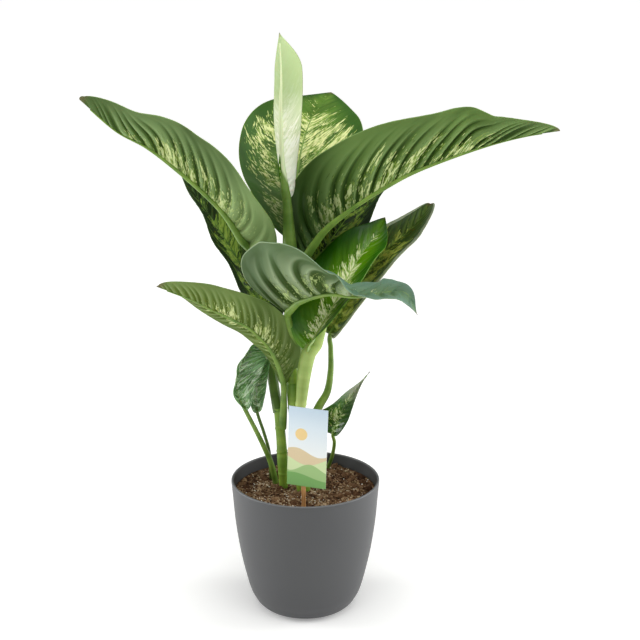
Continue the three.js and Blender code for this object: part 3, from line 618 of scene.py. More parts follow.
def compost_material():
    """Coir and bark compost: dry, without any gloss, from near black crumbs to straw and pale grit. Its
    mottles are about 2 mm wide."""
    material, add = new_material("coir_compost")
    tone = add("ShaderNodeAttribute", output="Fac", attribute_name="tone")
    place = add("ShaderNodeTexCoord", output="Object")
    mottle = add("ShaderNodeTexNoise", {"Vector": place, "Scale": 450, "Detail": 4, "Roughness": 0.65})
    shift = add("ShaderNodeMapRange", mottle, 0.3, 0.7, -0.16, 0.16)
    level = add("ShaderNodeMath", tone, shift, operation="ADD")
    colour = coated(add, linear("#2a180c"), [
        (level, 0.0, 0.3, 1.0, "#543722"), (level, 0.3, 0.55, 1.0, "#83664a"),
        (level, 0.55, 0.8, 1.0, "#b39776"), (level, 0.8, 0.92, 1.0, "#d8c8ac"),
        (level, 0.92, 1.0, 1.0, "#efe9dc")])
    bump = add("ShaderNodeBump", {"Height": mottle, "Strength": 0.5, "Distance": 0.0006})
    shader = add("ShaderNodeBsdfPrincipled", {"Base Color": colour, "Roughness": 0.95, "IOR": 1.3,
                                              "Normal": bump})
    add("ShaderNodeOutputMaterial", shader, output=None)
    return material


def wood_material():
    """Split birch stick: pale tan with a straight grain, 0.7 x 25 mm, unvarnished."""
    material, add = new_material("split_birch")
    place = add("ShaderNodeTexCoord", output="Object")
    stretched = add("ShaderNodeMapping", {"Vector": place, "Scale": (1400, 1400, 40)})
    grain = add("ShaderNodeTexNoise", {"Vector": stretched, "Scale": 1, "Detail": 3})
    colour = coated(add, linear("#a8713d"), [(grain, 0.3, 0.55, 1.0, "#c8935a"),
                                             (grain, 0.55, 0.75, 1.0, "#dcb27c")])
    shader = add("ShaderNodeBsdfPrincipled", {"Base Color": colour, "Roughness": 0.65, "IOR": 1.45})
    add("ShaderNodeOutputMaterial", shader, output=None)
    return material


def card_material():
    """Coated label card, offset printed with plain hills under a pale sky: smooth, with a faint gloss. The
    attribute print is the place across and up the card, and 1 on its front."""
    material, add = new_material("coated_card")
    place = add("ShaderNodeAttribute", output="Vector", attribute_name="print")
    x, y, front = add("ShaderNodeSeparateXYZ", place, output=None).outputs
    coats = [(y, 0.35, 0.75, 1.0, "#dbe8f0"), (y, 0.75, 1.0, 1.0, "#c3d7e6")]
    for base, swell, count, phase, code in HILLS:
        turn = add("ShaderNodeMath", x, count, phase, operation="MULTIPLY_ADD")
        wave = add("ShaderNodeMath", turn, operation="SINE")
        edge = add("ShaderNodeMath", wave, swell, base, operation="MULTIPLY_ADD")
        below = add("ShaderNodeMath", edge, y, operation="SUBTRACT")
        coats.append((below, 0.0, HILL_EDGE, 1.0, code))
    from_sun = add("ShaderNodeVectorMath", place, SUN_PLACE, operation="SUBTRACT")
    round_sun = add("ShaderNodeVectorMath", from_sun, (1.0, CARD_ASPECT, 0.0), operation="MULTIPLY")
    away = add("ShaderNodeVectorMath", round_sun, output="Value", operation="LENGTH")
    coats += [(away, SUN_EDGE, SUN_RADIUS, 1.0, "#efd08e"), (front, 1.0, 0.0, 1.0, "#f3f3ef")]
    colour = coated(add, linear("#f4f7f4"), coats)
    shader = add("ShaderNodeBsdfPrincipled", {"Base Color": colour, "Roughness": 0.32, "IOR": 1.5})
    add("ShaderNodeOutputMaterial", shader, output=None)
    return material


def floor_material(glow, near):
    """Painted studio sweep: white, and lit from within far from the pot so that it stays white there. Near
    the pot it glows less, as a painted shadow.
    """
    material, add = new_material("painted_sweep")
    place = add("ShaderNodeTexCoord", output="Object")
    away = add("ShaderNodeVectorMath", place, output="Value", operation="LENGTH")
    strength = add("ShaderNodeMapRange", away, *FLOOR_FADE, near, glow)
    # Painted shadow: the least glow round the pot's foot
    shade = add("ShaderNodeMapRange", away, *POT_SHADE, near * POT_SHADE_SHARE, 0.0,
                interpolation_type="SMOOTHSTEP")
    left = add("ShaderNodeMath", strength, shade, operation="SUBTRACT")
    shader = add("ShaderNodeBsdfPrincipled", {
        "Base Color": linear("#f2f2f0"), "Roughness": 0.9, "Emission Color": linear("#ffffff"),
        "Emission Strength": left})
    add("ShaderNodeOutputMaterial", shader, output=None)
    return material


# Geometry Nodes

SOCKET_KINDS = {int: "NodeSocketInt", float: "NodeSocketFloat", type(None): "NodeSocketMaterial"}


def new_tree(name, inputs):
    """Geometry node tree with a Geometry input and others by name with their defaults, which are None for a
    material. Returns the tree, the function that adds a node to it, and the sockets of its inputs."""
    tree = bpy.data.node_groups.new(name, "GeometryNodeTree")
    for way in ("INPUT", "OUTPUT"):
        tree.interface.new_socket("Geometry", in_out=way, socket_type="NodeSocketGeometry")
    for title, default in inputs.items():
        socket = tree.interface.new_socket(title, in_out="INPUT", socket_type=SOCKET_KINDS[type(default)])
        if default is not None:
            socket.default_value = default
    return tree, partial(add_node, tree), tree.nodes.new("NodeGroupInput").outputs


def end_tree(add, body, dress):
    """Ends a tree with its body made real and given materials. dress is a list of (where, material)."""
    body = add("GeometryNodeRealizeInstances", body)
    for where, material in dress:
        body = add("GeometryNodeSetMaterial", body, where, material)
    add("NodeGroupOutput", body, output=None)


def stem_tree():
    """Tube along each edge path of a mesh, as thick as its attribute radius, with rings where asked for."""
    tree, add, given = new_tree("stem_along_path", {"Sides": 20, "Ring spacing": 0.03, "Ring height": 0.0})
    radius = add("GeometryNodeInputNamedAttribute", "radius")
    run = add("GeometryNodeInputNamedAttribute", "run")
    turns = add("ShaderNodeMath", run, given["Ring spacing"], operation="DIVIDE")
    part = add("ShaderNodeMath", turns, 0.5, operation="PINGPONG")
    ring = add("ShaderNodeMapRange", part, *CANE_RING, interpolation_type="SMOOTHSTEP")
    grown = add("ShaderNodeMath", ring, given["Ring height"], radius, operation="MULTIPLY_ADD")
    path = add("GeometryNodeMeshToCurve", given["Geometry"])
    circle = add("GeometryNodeCurvePrimitiveCircle", {"Resolution": given["Sides"], "Radius": 1.0},
                 mode="RADIUS")
    place = add("GeometryNodeInputPosition")
    profile = add("GeometryNodeStoreNamedAttribute", {"Geometry": circle, "Name": "around", "Value": place},
                  data_type="FLOAT_VECTOR", domain="POINT")
    tube = add("GeometryNodeCurveToMesh", {"Curve": path, "Profile Curve": profile, "Scale": grown,
                                           "Fill Caps": True})
    around = add("GeometryNodeInputNamedAttribute", "around", data_type="FLOAT_VECTOR")
    wide = add("ShaderNodeVectorMath", {0: around, "Scale": grown}, operation="SCALE")
    x, y, _ = add("ShaderNodeSeparateXYZ", wide, output=None).outputs
    surface = add("ShaderNodeCombineXYZ", run, x, y)
    mapped = add("GeometryNodeStoreNamedAttribute", {"Geometry": tube, "Name": "surface", "Value": surface},
                 data_type="FLOAT_VECTOR", domain="POINT")
    add("NodeGroupOutput", add("GeometryNodeSetShadeSmooth", mapped), output=None)
    return tree


def cane_tree(stem):
    """Cane: the stem with the rings that its fallen leaves left."""
    sizes = {"Sides": 28, "Ring spacing": 0.03, "Ring height": 0.0006}
    tree, add, given = new_tree("ringed_cane", {**sizes, "Material": None})
    tube = add("GeometryNodeGroup", {name: given[name] for name in ("Geometry", *sizes)}, node_tree=stem)
    end_tree(add, tube, [(True, given["Material"])])
    return tree


def leaf_tree(stem):
    """Leaf: the sheet puckered along its side veins and given its thickness, and the stalk along its path."""
    tree, add, given = new_tree("veined_leaf", {
        "Blade thickness": 0.0007, "Vein spacing": 0.021, "Vein height": 0.0026, "Stalk sides": 20,
        "Upper side": None, "Underside": None, "Stalk": None})
    radius, vein, reach, along = [add("GeometryNodeInputNamedAttribute", title)
                                  for title in ("radius", "vein", "reach", "along")]
    in_stalk = add("ShaderNodeMath", radius, 0.0, operation="GREATER_THAN")
    path, blade = add("GeometryNodeSeparateGeometry", given["Geometry"], in_stalk, output=None,
                      domain="POINT").outputs
    # Side veins: ridges on the underside, spaced along the attribute vein, that fade by the margin
    spot = add("ShaderNodeCombineXYZ", vein)
    uneven = add("ShaderNodeTexNoise", {"Vector": spot, "Scale": VEIN_NOISE, "Detail": 0.0})
    count = add("ShaderNodeMath", vein, given["Vein spacing"], operation="DIVIDE")
    even = add("ShaderNodeMath", uneven, VEIN_UNEVEN, count, operation="MULTIPLY_ADD")
    turn = add("ShaderNodeMath", even, FULL_TURN, operation="MULTIPLY")
    cosine = add("ShaderNodeMath", turn, operation="COSINE")
    skew = add("ShaderNodeMath", cosine, VEIN_SKEW, VEIN_SKEW, operation="MULTIPLY_ADD")
    phase = add("ShaderNodeMath", even, skew, operation="ADD")
    phased = add("GeometryNodeStoreNamedAttribute", {"Geometry": blade, "Name": "phase", "Value": phase},
                 data_type="FLOAT", domain="POINT")
    part = add("ShaderNodeMath", phase, 0.5, operation="PINGPONG")
    relief = add("ShaderNodeMapRange", part, 0.0, 0.5, HOLLOW_RISE, VEIN_DROP,
                 interpolation_type="SMOOTHSTEP")
    fade = add("ShaderNodeMapRange", reach, *MARGIN_RELIEF, interpolation_type="SMOOTHSTEP")
    by_tip = add("ShaderNodeMapRange", along, *TIP_RELIEF)
    by_rib = add("ShaderNodeMapRange", reach, *RIB_RELIEF)
    lift = given["Vein height"]
    for factor in (by_rib, by_tip, fade, relief):
        lift = add("ShaderNodeMath", lift, factor, operation="MULTIPLY")
    lower = add("ShaderNodeMath", given["Blade thickness"], -0.5, lift, operation="MULTIPLY_ADD")
    normal = add("GeometryNodeInputNormal")
    offset = add("ShaderNodeVectorMath", {0: normal, "Scale": lower}, operation="SCALE")
    sheet = add("GeometryNodeSetPosition", {"Geometry": phased, "Offset": offset})
    # Thickness: the sheet is pushed up, and closed below by itself turned over
    raised = add("GeometryNodeExtrudeMesh",
                 {"Mesh": sheet, "Offset Scale": given["Blade thickness"], "Individual": False}, mode="FACES")
    turned = add("GeometryNodeFlipFaces", sheet)
    below = add("GeometryNodeStoreNamedAttribute", {"Geometry": turned, "Name": "underside", "Value": True},
                data_type="BOOLEAN", domain="FACE")
    both = add("GeometryNodeJoinGeometry", [raised, below])
    closed = add("GeometryNodeMergeByDistance", {"Geometry": both, "Distance": WELD})
    smooth = add("GeometryNodeSetShadeSmooth", closed)
    tube = add("GeometryNodeGroup", {"Geometry": path, "Sides": given["Stalk sides"]}, node_tree=stem)
    stalk = add("GeometryNodeStoreNamedAttribute", {"Geometry": tube, "Name": "stalk", "Value": True},
                data_type="BOOLEAN", domain="FACE")
    on_underside, on_stalk = [add("GeometryNodeInputNamedAttribute", title, data_type="BOOLEAN")
                              for title in ("underside", "stalk")]
    end_tree(add, add("GeometryNodeJoinGeometry", [smooth, stalk]), [
        (True, given["Upper side"]), (on_underside, given["Underside"]), (on_stalk, given["Stalk"])])
    return tree


def turned_tree():
    """Vessel: the profile's points turned about the upright axis."""
    tree, add, given = new_tree("turned_vessel", {"Segments": 160, "Profile points": 2, "Material": None})
    columns = add("ShaderNodeMath", given["Segments"], 1.0, operation="ADD")
    grid = add("GeometryNodeMeshGrid", {"Size X": 1.0, "Size Y": 1.0, "Vertices X": columns,
                                        "Vertices Y": given["Profile points"]})
    place = add("GeometryNodeInputPosition")
    x, y, _ = add("ShaderNodeSeparateXYZ", place, output=None).outputs
    angle = add("ShaderNodeMath", x, FULL_TURN, operation="MULTIPLY")
    share = add("ShaderNodeMath", y, 0.5, operation="ADD")
    last = add("ShaderNodeMath", given["Profile points"], 1.0, operation="SUBTRACT")
    row = add("ShaderNodeMath", share, last, operation="MULTIPLY")
    index = add("FunctionNodeFloatToInt", row, rounding_mode="ROUND")
    point = add("GeometryNodeSampleIndex", {"Geometry": given["Geometry"], "Value": place, "Index": index},
                data_type="FLOAT_VECTOR", domain="POINT")
    turned = add("ShaderNodeVectorRotate", {"Vector": point, "Angle": angle}, rotation_type="Z_AXIS")
    shell = add("GeometryNodeSetPosition", {"Geometry": grid, "Position": turned})
    closed = add("GeometryNodeMergeByDistance", {"Geometry": shell, "Distance": WELD})
    end_tree(add, add("GeometryNodeSetShadeSmooth", closed), [(True, given["Material"])])
    return tree


def scatter_tree():
    """Compost: clumps, crumbs, chips, fibres and grit strewn where the attribute open is 1, from one seed."""
    sizes = {}
    for title, _, _, _, _, density, size in STREWN:
        sizes[f"{title}s per square metre"] = density
        sizes[f"{title} size"] = size
    tree, add, given = new_tree("strewn_compost", {**sizes, "Seed": 4, "Material": None})
    opened = add("GeometryNodeInputNamedAttribute", "open")
    ground = add("GeometryNodeInputNamedAttribute", "tone")
    parts = [given["Geometry"]]
    for number, (title, faceting, least, most, tones, _, _) in enumerate(STREWN):
        seed = add("ShaderNodeMath", given["Seed"], 11.0 * number, operation="ADD")
        points = add("GeometryNodeDistributePointsOnFaces",
                     {"Mesh": given["Geometry"], "Selection": opened,
                      "Density": given[f"{title}s per square metre"], "Seed": seed},
                     distribute_method="RANDOM")
        ball = add("GeometryNodeMeshIcoSphere", {"Radius": 1.0, "Subdivisions": faceting})
        lump = add("ShaderNodeTexNoise", {"Scale": 1.7 + number, "Detail": 2.0}, output="Color")
        centred = add("ShaderNodeVectorMath", lump, (0.5, 0.5, 0.5), operation="SUBTRACT")
        shape = add("GeometryNodeSetPosition", {"Geometry": ball, "Offset": centred})
        tilts = [(side * STREWN_TILT, side * STREWN_TILT, side * math.pi) for side in (-1, 1)]
        turn = add("FunctionNodeRandomValue", {0: tilts[0], 1: tilts[1], "Seed": seed},
                   data_type="FLOAT_VECTOR")
        turned = add("FunctionNodeEulerToRotation", turn)
        stretch = add("FunctionNodeRandomValue", {0: least, 1: most, "Seed": seed}, data_type="FLOAT_VECTOR")
        size = add("ShaderNodeVectorMath", {0: stretch, "Scale": given[f"{title} size"]}, operation="SCALE")
        pieces = add("GeometryNodeInstanceOnPoints",
                     {"Points": points, "Instance": shape, "Rotation": turned, "Scale": size})
        tone = add("FunctionNodeRandomValue", {2: tones[0], 3: tones[1], "Seed": seed}, output=1,
                   data_type="FLOAT")
        lighter = add("ShaderNodeMath", ground, tone, operation="ADD")
        parts.append(add("GeometryNodeStoreNamedAttribute",
                         {"Geometry": pieces, "Name": "tone", "Value": lighter},
                         data_type="FLOAT", domain="INSTANCE"))
    end_tree(add, add("GeometryNodeJoinGeometry", parts), [(True, given["Material"])])
    return tree


def evaluated(mesh, tree, inputs):
    """Plain mesh that the tree makes of a mesh, with its named inputs set."""
    holder = bpy.data.objects.new("holder", mesh)
    bpy.context.scene.collection.objects.link(holder)
    modifier = holder.modifiers.new("shape", "NODES")
    modifier.node_group = tree
    for item in tree.interface.items_tree:
        if item.in_out == "INPUT" and item.name in inputs:
            modifier[item.identifier] = inputs[item.name]
    bpy.context.view_layer.update()
    graph = bpy.context.evaluated_depsgraph_get()
    result = bpy.data.meshes.new_from_object(
        holder.evaluated_get(graph), preserve_all_data_layers=True, depsgraph=graph)
    holder.modifiers.remove(modifier)
    bpy.data.objects.remove(holder)
    bpy.data.meshes.remove(mesh)
    return result


def place_piece(name, mesh, nodes):
    """Object of a finished mesh, at the origin, that stands for CAD nodes or, without any, adds to them."""
    mesh.name = name
    piece = bpy.data.objects.new(name, mesh)
    bpy.context.scene.collection.objects.link(piece)
    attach(piece, "root")
    if nodes:
        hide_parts(*nodes)


# Paths and blades

def keyed(rows, t):
    """Numbers at shares t, from rows [share, number, ...], eased between the rows."""
    rows = np.array(rows, float)
    i = np.clip(np.searchsorted(rows[:, 0], t) - 1, 0, len(rows) - 2)
    x = np.clip((t - rows[i, 0]) / (rows[i + 1, 0] - rows[i, 0]), 0, 1)
    x = x * x * (3 - 2 * x)
    return [rows[i, k] + (rows[i + 1, k] - rows[i, k]) * x for k in range(1, rows.shape[1])]


def smooth_line(points):
    """Catmull-Rom line through the points, and the length run at each of its own."""
    p = np.array(points, float)
    p = np.vstack([2 * p[0] - p[1], p, 2 * p[-1] - p[-2]])
    x = np.linspace(0, 1, STEPS, endpoint=False)[:, None]
    spans = []
    for a, b, c, d in zip(p, p[1:], p[2:], p[3:]):
        square, cube = 2 * a - 5 * b + 4 * c - d, 3 * b - a - 3 * c + d
        spans.append(0.5 * (2 * b + (c - a) * x + square * x**2 + cube * x**3))
    line = np.vstack(spans + [p[-2:-1]])
    run = np.concatenate([[0], np.cumsum(np.linalg.norm(np.diff(line, axis=0), axis=1))])
    return line, run


def unit(vectors):
    """Vectors of the same directions, one long."""
    return vectors / np.linalg.norm(vectors, axis=-1, keepdims=True)


def on_line(line, run, at):
    """Points and directions of a line at the lengths given."""
    direction = np.gradient(line, run, axis=0)
    return (np.stack([np.interp(at, run, line[:, k]) for k in range(3)], -1),
            unit(np.stack([np.interp(at, run, direction[:, k]) for k in range(3)], -1)))


def rib_frame(leaf, t):
    """Points of the rib at shares t, and the directions along, up and to the right. Last, its length."""
    line, run = smooth_line(leaf["stalk"] + leaf["rib"])
    start = run[STEPS * (len(leaf["stalk"]) - 1)]
    points, along = on_line(line, run, start + (run[-1] - start) * t)
    up = np.array(leaf["up"], float)
    up = unit(up - (along @ up)[:, None] * along)
    return points, along, up, np.cross(along, up), run[-1] - start


def towards(up, right, degrees):
    """Directions at angles from up to the right."""
    a = np.radians(degrees)[:, None]
    return up * np.cos(a) + right * np.sin(a)


def outline(t, leaf):
    """Share of the half width that the outline keeps at shares t of the rib."""
    widest = leaf["widest"]
    base = (1 - ((widest - np.minimum(t, widest)) / widest) ** 2) ** leaf.get("base", 0.5)
    rest = np.clip((t - widest) / (1 - widest), 0, 1)
    return np.where(t < widest, base, (1 - rest**TIP_BEND) ** leaf["point"])


def blade_sheet(leaf, rows, columns):
    """Corners of the blade's middle surface, row by row from the left margin to the right one. Each has its
    place, the shares along the rib and out to the margin, where on the rib the side vein through it starts,
    and how far out it lies, less than 0 on the left."""
    x = np.linspace(0, 1, rows + 1)
    t = x - CROWDING * np.sin(FULL_TURN * x)
    rib, along, up, right, length = rib_frame(leaf, t)
    angles = keyed(leaf["fold"], t)
    cups = keyed(leaf.get("cup", [[0, 0, 0], [1, 0, 0]]), t)
    sweep = keyed(leaf.get("sweep", SWEEP), t)[0]
    leans = keyed(leaf.get("lean", LEAN), t)
    height, count, phase = leaf.get("wave", [0, 0, 0])
    halves = []
    for side, angle, cup, lean, widest in zip((-1, 1), angles, cups, leans, leaf["half"]):
        half = widest * outline(t, leaf)
        lead = phase + (RIGHT_PHASE if side > 0 else 0)
        wave = height * np.sqrt(np.clip(np.sin(np.pi * t), 0, 1)) * np.sin(FULL_TURN * count * t + lead)
        corner = rib.copy()
        grid = []
        for f in np.arange(1, columns + 1) / columns:
            bend = angle - side * cup * (f - 0.5 / columns)
            corner = corner + towards(up, right, bend) * (half / columns)[:, None]
            across = towards(up, right, angle - side * (cup * f + 90))
            ahead = sweep * half * f**SWEEP_BEND
            place = corner + along * ahead[:, None] + across * (wave * f**WAVE_BEND)[:, None]
            vein = t * length - half * (lean * f + VEIN_ARCH * f**3) + ahead
            grid.append(np.column_stack([place, t, np.full_like(t, f), vein, side * f * half]))
        halves.append(grid)
    middle = np.column_stack([rib, t, 0 * t, t * length, 0 * t])
    return np.stack(halves[0][::-1] + [middle] + halves[1], axis=1)


def stalk_line(leaf, step):
    """Points along the stalk and the midrib that it runs into, with the radius and the length run."""
    line, run = smooth_line(leaf["stalk"] + leaf["rib"])
    start = run[STEPS * (len(leaf["stalk"]) - 1)]
    end = start + (run[-1] - start) * RIB_END
    at = np.linspace(0, end, int(end / step) + 1)
    points, _ = on_line(line, run, at)
    foot, neck = leaf["radius"]
    slim = start + (end - start) * RIB_SLIM_AT
    thin = neck * leaf.get("slim", RIB_SLIM)
    radius = keyed([[0, foot], [start, neck], [slim, thin], [end, RIB_TIP]], at)[0]
    if "ring" in leaf:
        radius = radius + RING_HEIGHT * np.exp(-((at - leaf["ring"]) / RING_WIDTH) ** 2)
    t = np.clip((at - start) / (run[-1] - start), 0, 1)
    _, _, up, right, _ = rib_frame(leaf, t)
    left_angle, right_angle = keyed(leaf["fold"], t)
    drop = RIB_DROP * radius * np.minimum(1, t / RIB_DROP_AT)
    points = points - towards(up, right, (left_angle + right_angle) / 2) * drop[:, None]
    return points, radius, at


def mesh_of(name, points, edges, faces, attributes):
    """Mesh from points in millimetres. Its attributes are numbers, or vectors where they have columns."""
    mesh = bpy.data.meshes.new(name)
    mesh.from_pydata([tuple(p) for p in np.asarray(points) * MM], edges, faces)
    for title, values in attributes.items():
        values = np.asarray(values, np.float32)
        kind, key = ("FLOAT_VECTOR", "vector") if values.ndim == 2 else ("FLOAT", "value")
        mesh.attributes.new(title, kind, "POINT").data.foreach_set(key, values.ravel())
    return mesh


def path_edges(first, count):
    """Edges of a path of that many points, from the first on."""
    return [(i, i + 1) for i in range(first, first + count - 1)]


def grid_faces(rows, columns, wide):
    """Quads of a grid of rows by columns of faces, whose rows of corners are wide long."""
    return [(i * wide + j, i * wide + (j + 1) % wide, (i + 1) * wide + (j + 1) % wide, (i + 1) * wide + j)
            for i in range(rows) for j in range(columns)]


def leaf_mesh(leaf, number, step):
    """The sheet of the blade and, as a path of edges, the stalk with its midrib."""
    *_, length = rib_frame(leaf, np.zeros(1))
    rows = int(length / step) + 1
    sheet = blade_sheet(leaf, rows, int(max(leaf["half"]) / step) + 1)
    wide = sheet.shape[1]
    sheet = sheet.reshape(-1, 7)
    path, radius, run = stalk_line(leaf, step)
    blank = np.zeros(len(sheet))
    none = np.zeros(len(path))
    shift = PATTERN_SHIFT * number
    vein, out = (sheet[:, k] * MM + shift for k in (5, 6))
    attributes = {
        "along": np.concatenate([sheet[:, 3], none]),
        "reach": np.concatenate([sheet[:, 4], none]),
        "vein": np.concatenate([vein, none]),
        "radius": np.concatenate([blank, radius * MM]),
        "run": np.concatenate([blank, run * MM + shift]),
        "surface": np.vstack([np.column_stack([vein, out, blank]), np.zeros((len(path), 3))]),
    }
    points = np.vstack([sheet[:, :3], path])
    return mesh_of("leaf", points, path_edges(len(sheet), len(path)), grid_faces(rows, wide - 1, wide),
                   attributes)


# Cane, pot, compost and label

def cane_path(cane):
    """Path of a cane, from its foot in the compost, with its radius."""
    x, y, z = cane["axis"][0]
    line, run = smooth_line([[x, y, z - ROOT_DEPTH], *cane["axis"]])
    at = np.linspace(0, run[-1], int(run[-1]) + 1)
    points, _ = on_line(line, run, at)
    radii = [cane["radius"][0], *cane["radius"]]
    radius = keyed([[i / len(cane["radius"]), r] for i, r in enumerate(radii)], at / run[-1])[0]
    return mesh_of("path", points, path_edges(0, len(points)), [], {"radius": radius * MM, "run": at * MM})


def pot_profile():
    """Points of the pot's section, from the middle of its base round the wall to the middle of its floor."""
    outside = smooth_line(POT_PROFILE)[0][::POT_STEP]
    # Lip: half a turn from the outside to the inside
    turn = np.linspace(0, math.pi, LIP_POINTS)[1:-1]
    half = POT_WALL / 2
    lip = np.column_stack([POT_RADIUS - half + half * np.cos(turn), POT_HEIGHT - half + half * np.sin(turn)])
    inside = outside[outside[:, 1] > POT_FLOOR + POT_FLOOR_EASE][::-1] - [POT_WALL, 0]
    floor = [[POT_FLOOR_RADIUS, POT_FLOOR], [0, POT_FLOOR]]
    section = np.vstack([[[0, 0]], outside, lip, inside, floor])
    return np.column_stack([section[:, 0], np.zeros(len(section)), section[:, 1]])


def compost_surface(unevenness):
    """Body of the compost: swells and lumps on top, and a plain side and base against the pot. The attribute
    tone is how light it is there, and open is 1 where crumbs may lie."""
    def ring(radius, z):
        """Points of the body at a radius and height."""
        angles = FULL_TURN * np.arange(SOIL_COLUMNS) / SOIL_COLUMNS
        return np.column_stack([radius * np.cos(angles), radius * np.sin(angles), np.full(SOIL_COLUMNS, z)])

    def on_slice(x, y, size, height, *_):
        """Where a noise is read over a point."""
        return Vector((x / size, y / size, height))

    level = SOIL_LEVEL - SOIL_SINK
    top = [SOIL_RADIUS * (i + 1) / SOIL_RINGS for i in range(SOIL_RINGS)]
    crowned = [ring(r, level + SOIL_CROWN * (1 - r / SOIL_RADIUS)) for r in top]
    side = [[r - POT_WALL - GAP, z + GAP] for r, z in POT_PROFILE[2:-2]][::-1]
    points = np.vstack([[[0, 0, level + SOIL_CROWN]], *crowned, *(ring(r, z) for r, z in side),
                        [[0, 0, side[-1][1]]]])
    tones = np.full(len(points), SOIL_TONE)
    opened = np.zeros(len(points))
    for i, (x, y, z) in enumerate(points[:1 + SOIL_RINGS * SOIL_COLUMNS]):
        swell = noise.fractal(on_slice(x, y, *SOIL_SWELL), *SOIL_SWELL[2:])
        lump = noise.fractal(on_slice(x, y, *SOIL_LUMP), *SOIL_LUMP[2:])
        drift = noise.noise(on_slice(x, y, *SOIL_DRIFT))
        radius = math.hypot(x, y)
        inward = min(1.0, (SOIL_RADIUS - radius) / SOIL_EDGE)
        points[i, 2] = z + unevenness * (swell + LUMP_HEIGHT * lump) * inward
        tones[i] += LUMP_TONE * lump + DRIFT_TONE * drift
        for place_x, place_y, size, lighter in SOIL_PATCHES:
            tones[i] += lighter * math.exp(-((x - place_x) ** 2 + (y - place_y) ** 2) / size**2)
        opened[i] = float(radius < SOIL_RADIUS - SOIL_BARE)
    rows = SOIL_RINGS + len(side)
    last = len(points) - 1
    faces = []
    for j in range(SOIL_COLUMNS):
        k = (j + 1) % SOIL_COLUMNS
        faces.append((0, 1 + j, 1 + k))
        faces.append((last - SOIL_COLUMNS + j, last, last - SOIL_COLUMNS + k))
        for i in range(rows - 1):
            inner, outer = 1 + i * SOIL_COLUMNS, 1 + (i + 1) * SOIL_COLUMNS
            faces.append((inner + j, outer + j, outer + k, inner + k))
    return mesh_of("surface", points, [], faces, {"tone": tones, "open": opened})


def card_mesh(bow, thickness):
    """Card of the label, leant and turned, a little bowed across."""
    yaw, roll = math.radians(CARD["yaw"]), math.radians(-CARD["roll"])
    turn = Matrix.Rotation(yaw, 4, "Z") @ Matrix.Rotation(roll, 4, "Y")
    turn = Matrix.Translation(CARD["centre"]) @ turn
    across, up = CARD["faces"]
    points, prints = [], []
    for face in (0, 1):
        for i in range(up + 1):
            for j in range(across + 1):
                u, v = j / across, i / up
                back = bow * (2 * u - 1) ** 2 + (face - 0.5) * thickness
                place = Vector(((u - 0.5) * CARD["width"], back, (v - 0.5) * CARD["height"]))
                points.append(turn @ place)
                prints.append((u, v, 1.0 - face))
    wide = across + 1
    count = wide * (up + 1)
    front = grid_faces(up, across, wide)
    behind = [(a + count, d + count, c + count, b + count) for a, b, c, d in front]
    rim = [*range(across), *range(across, up * wide, wide), *range(up * wide + across, up * wide, -1),
           *range(up * wide, 0, -wide)]
    edge = [(a, a + count, b + count, b) for a, b in zip(rim, rim[1:] + rim[:1])]
    return mesh_of("card", points, [], front + behind + edge, {"print": prints})


def stick_mesh():
    """Flat stick with eased edges and a rounded top, just behind the card."""
    yaw = math.radians(CARD["yaw"])
    half, deep, ease = STICK["width"] / 2, STICK["thickness"] / 2, STICK["ease"]
    behind = CARD_BACK + GAP + deep
    along = (STICK["x"] - CARD["centre"][0]) / math.cos(yaw)
    centre = Vector((STICK["x"] - math.sin(yaw) * behind,
                     CARD["centre"][1] + math.sin(yaw) * along + math.cos(yaw) * behind, 0))
    turn = Matrix.Translation(centre) @ Matrix.Rotation(yaw, 4, "Z")
    section = [(half, deep - ease), (half - ease, deep), (ease - half, deep), (-half, deep - ease),
               (-half, ease - deep), (ease - half, -deep), (half - ease, -deep), (half, ease - deep)]
    straight = STICK["top"] - STICK["bottom"] - STICK["round"]
    levels = [(z, 1.0) for z in np.linspace(0, straight, STICK_LEVELS)]
    levels += [(straight + STICK["round"] * math.sin(a), math.cos(a)) for a in STICK_ROUND_ANGLES]
    points = [turn @ Vector((x * keep, y * (0.5 + 0.5 * keep), STICK["bottom"] + z))
              for z, keep in levels for x, y in section]
    sides = len(section)
    faces = grid_faces(len(levels) - 1, sides, sides)
    faces += [tuple(range(sides))[::-1], tuple(range(len(points) - sides, len(points)))]
    return mesh_of("stick", points, [], faces, {})


# Settings

class LeafSettings(bpy.types.PropertyGroup):
    """Sizes of the leaves."""
    blade_thickness: bpy.props.FloatProperty(
        name="Blade thickness", description="Thickness of a leaf blade", default=0.0007, min=0.0002,
        unit="LENGTH")
    vein_spacing: bpy.props.FloatProperty(
        name="Vein spacing", description="Distance between side veins on a large leaf", default=0.0175,
        min=0.004, unit="LENGTH")
    vein_height: bpy.props.FloatProperty(
        name="Vein height", description="Height from hollow to vein on a large leaf", default=0.0048,
        min=0.0, unit="LENGTH")
    mesh_step: bpy.props.FloatProperty(
        name="Mesh step", description="Size of the faces of a blade", default=0.0016, min=0.0008,
        unit="LENGTH")


class PotSettings(bpy.types.PropertyGroup):
    """Size and colour of the pot."""
    segments: bpy.props.IntProperty(
        name="Segments", description="Faces round the pot", default=160, min=36)
    colour: bpy.props.FloatVectorProperty(
        name="Colour", description="Colour of the plastic", subtype="COLOR", size=4, min=0, max=1,
        default=linear("#4c4d4f"))


class CompostSettings(bpy.types.PropertyGroup):
    """What lies on the compost."""
    unevenness: bpy.props.FloatProperty(
        name="Unevenness", description="How far the surface rises and falls", default=0.0022, min=0.0,
        unit="LENGTH")
    seed: bpy.props.IntProperty(name="Seed", description="Which way the crumbs fall", default=4, min=0)


class LabelSettings(bpy.types.PropertyGroup):
    """Sizes of the plant label."""
    bow: bpy.props.FloatProperty(
        name="Bow", description="How far the card bends back at its sides", default=0.0005, min=0.0,
        unit="LENGTH")
    thickness: bpy.props.FloatProperty(
        name="Card thickness", description="Thickness of the card", default=0.0006, min=0.0002,
        unit="LENGTH")


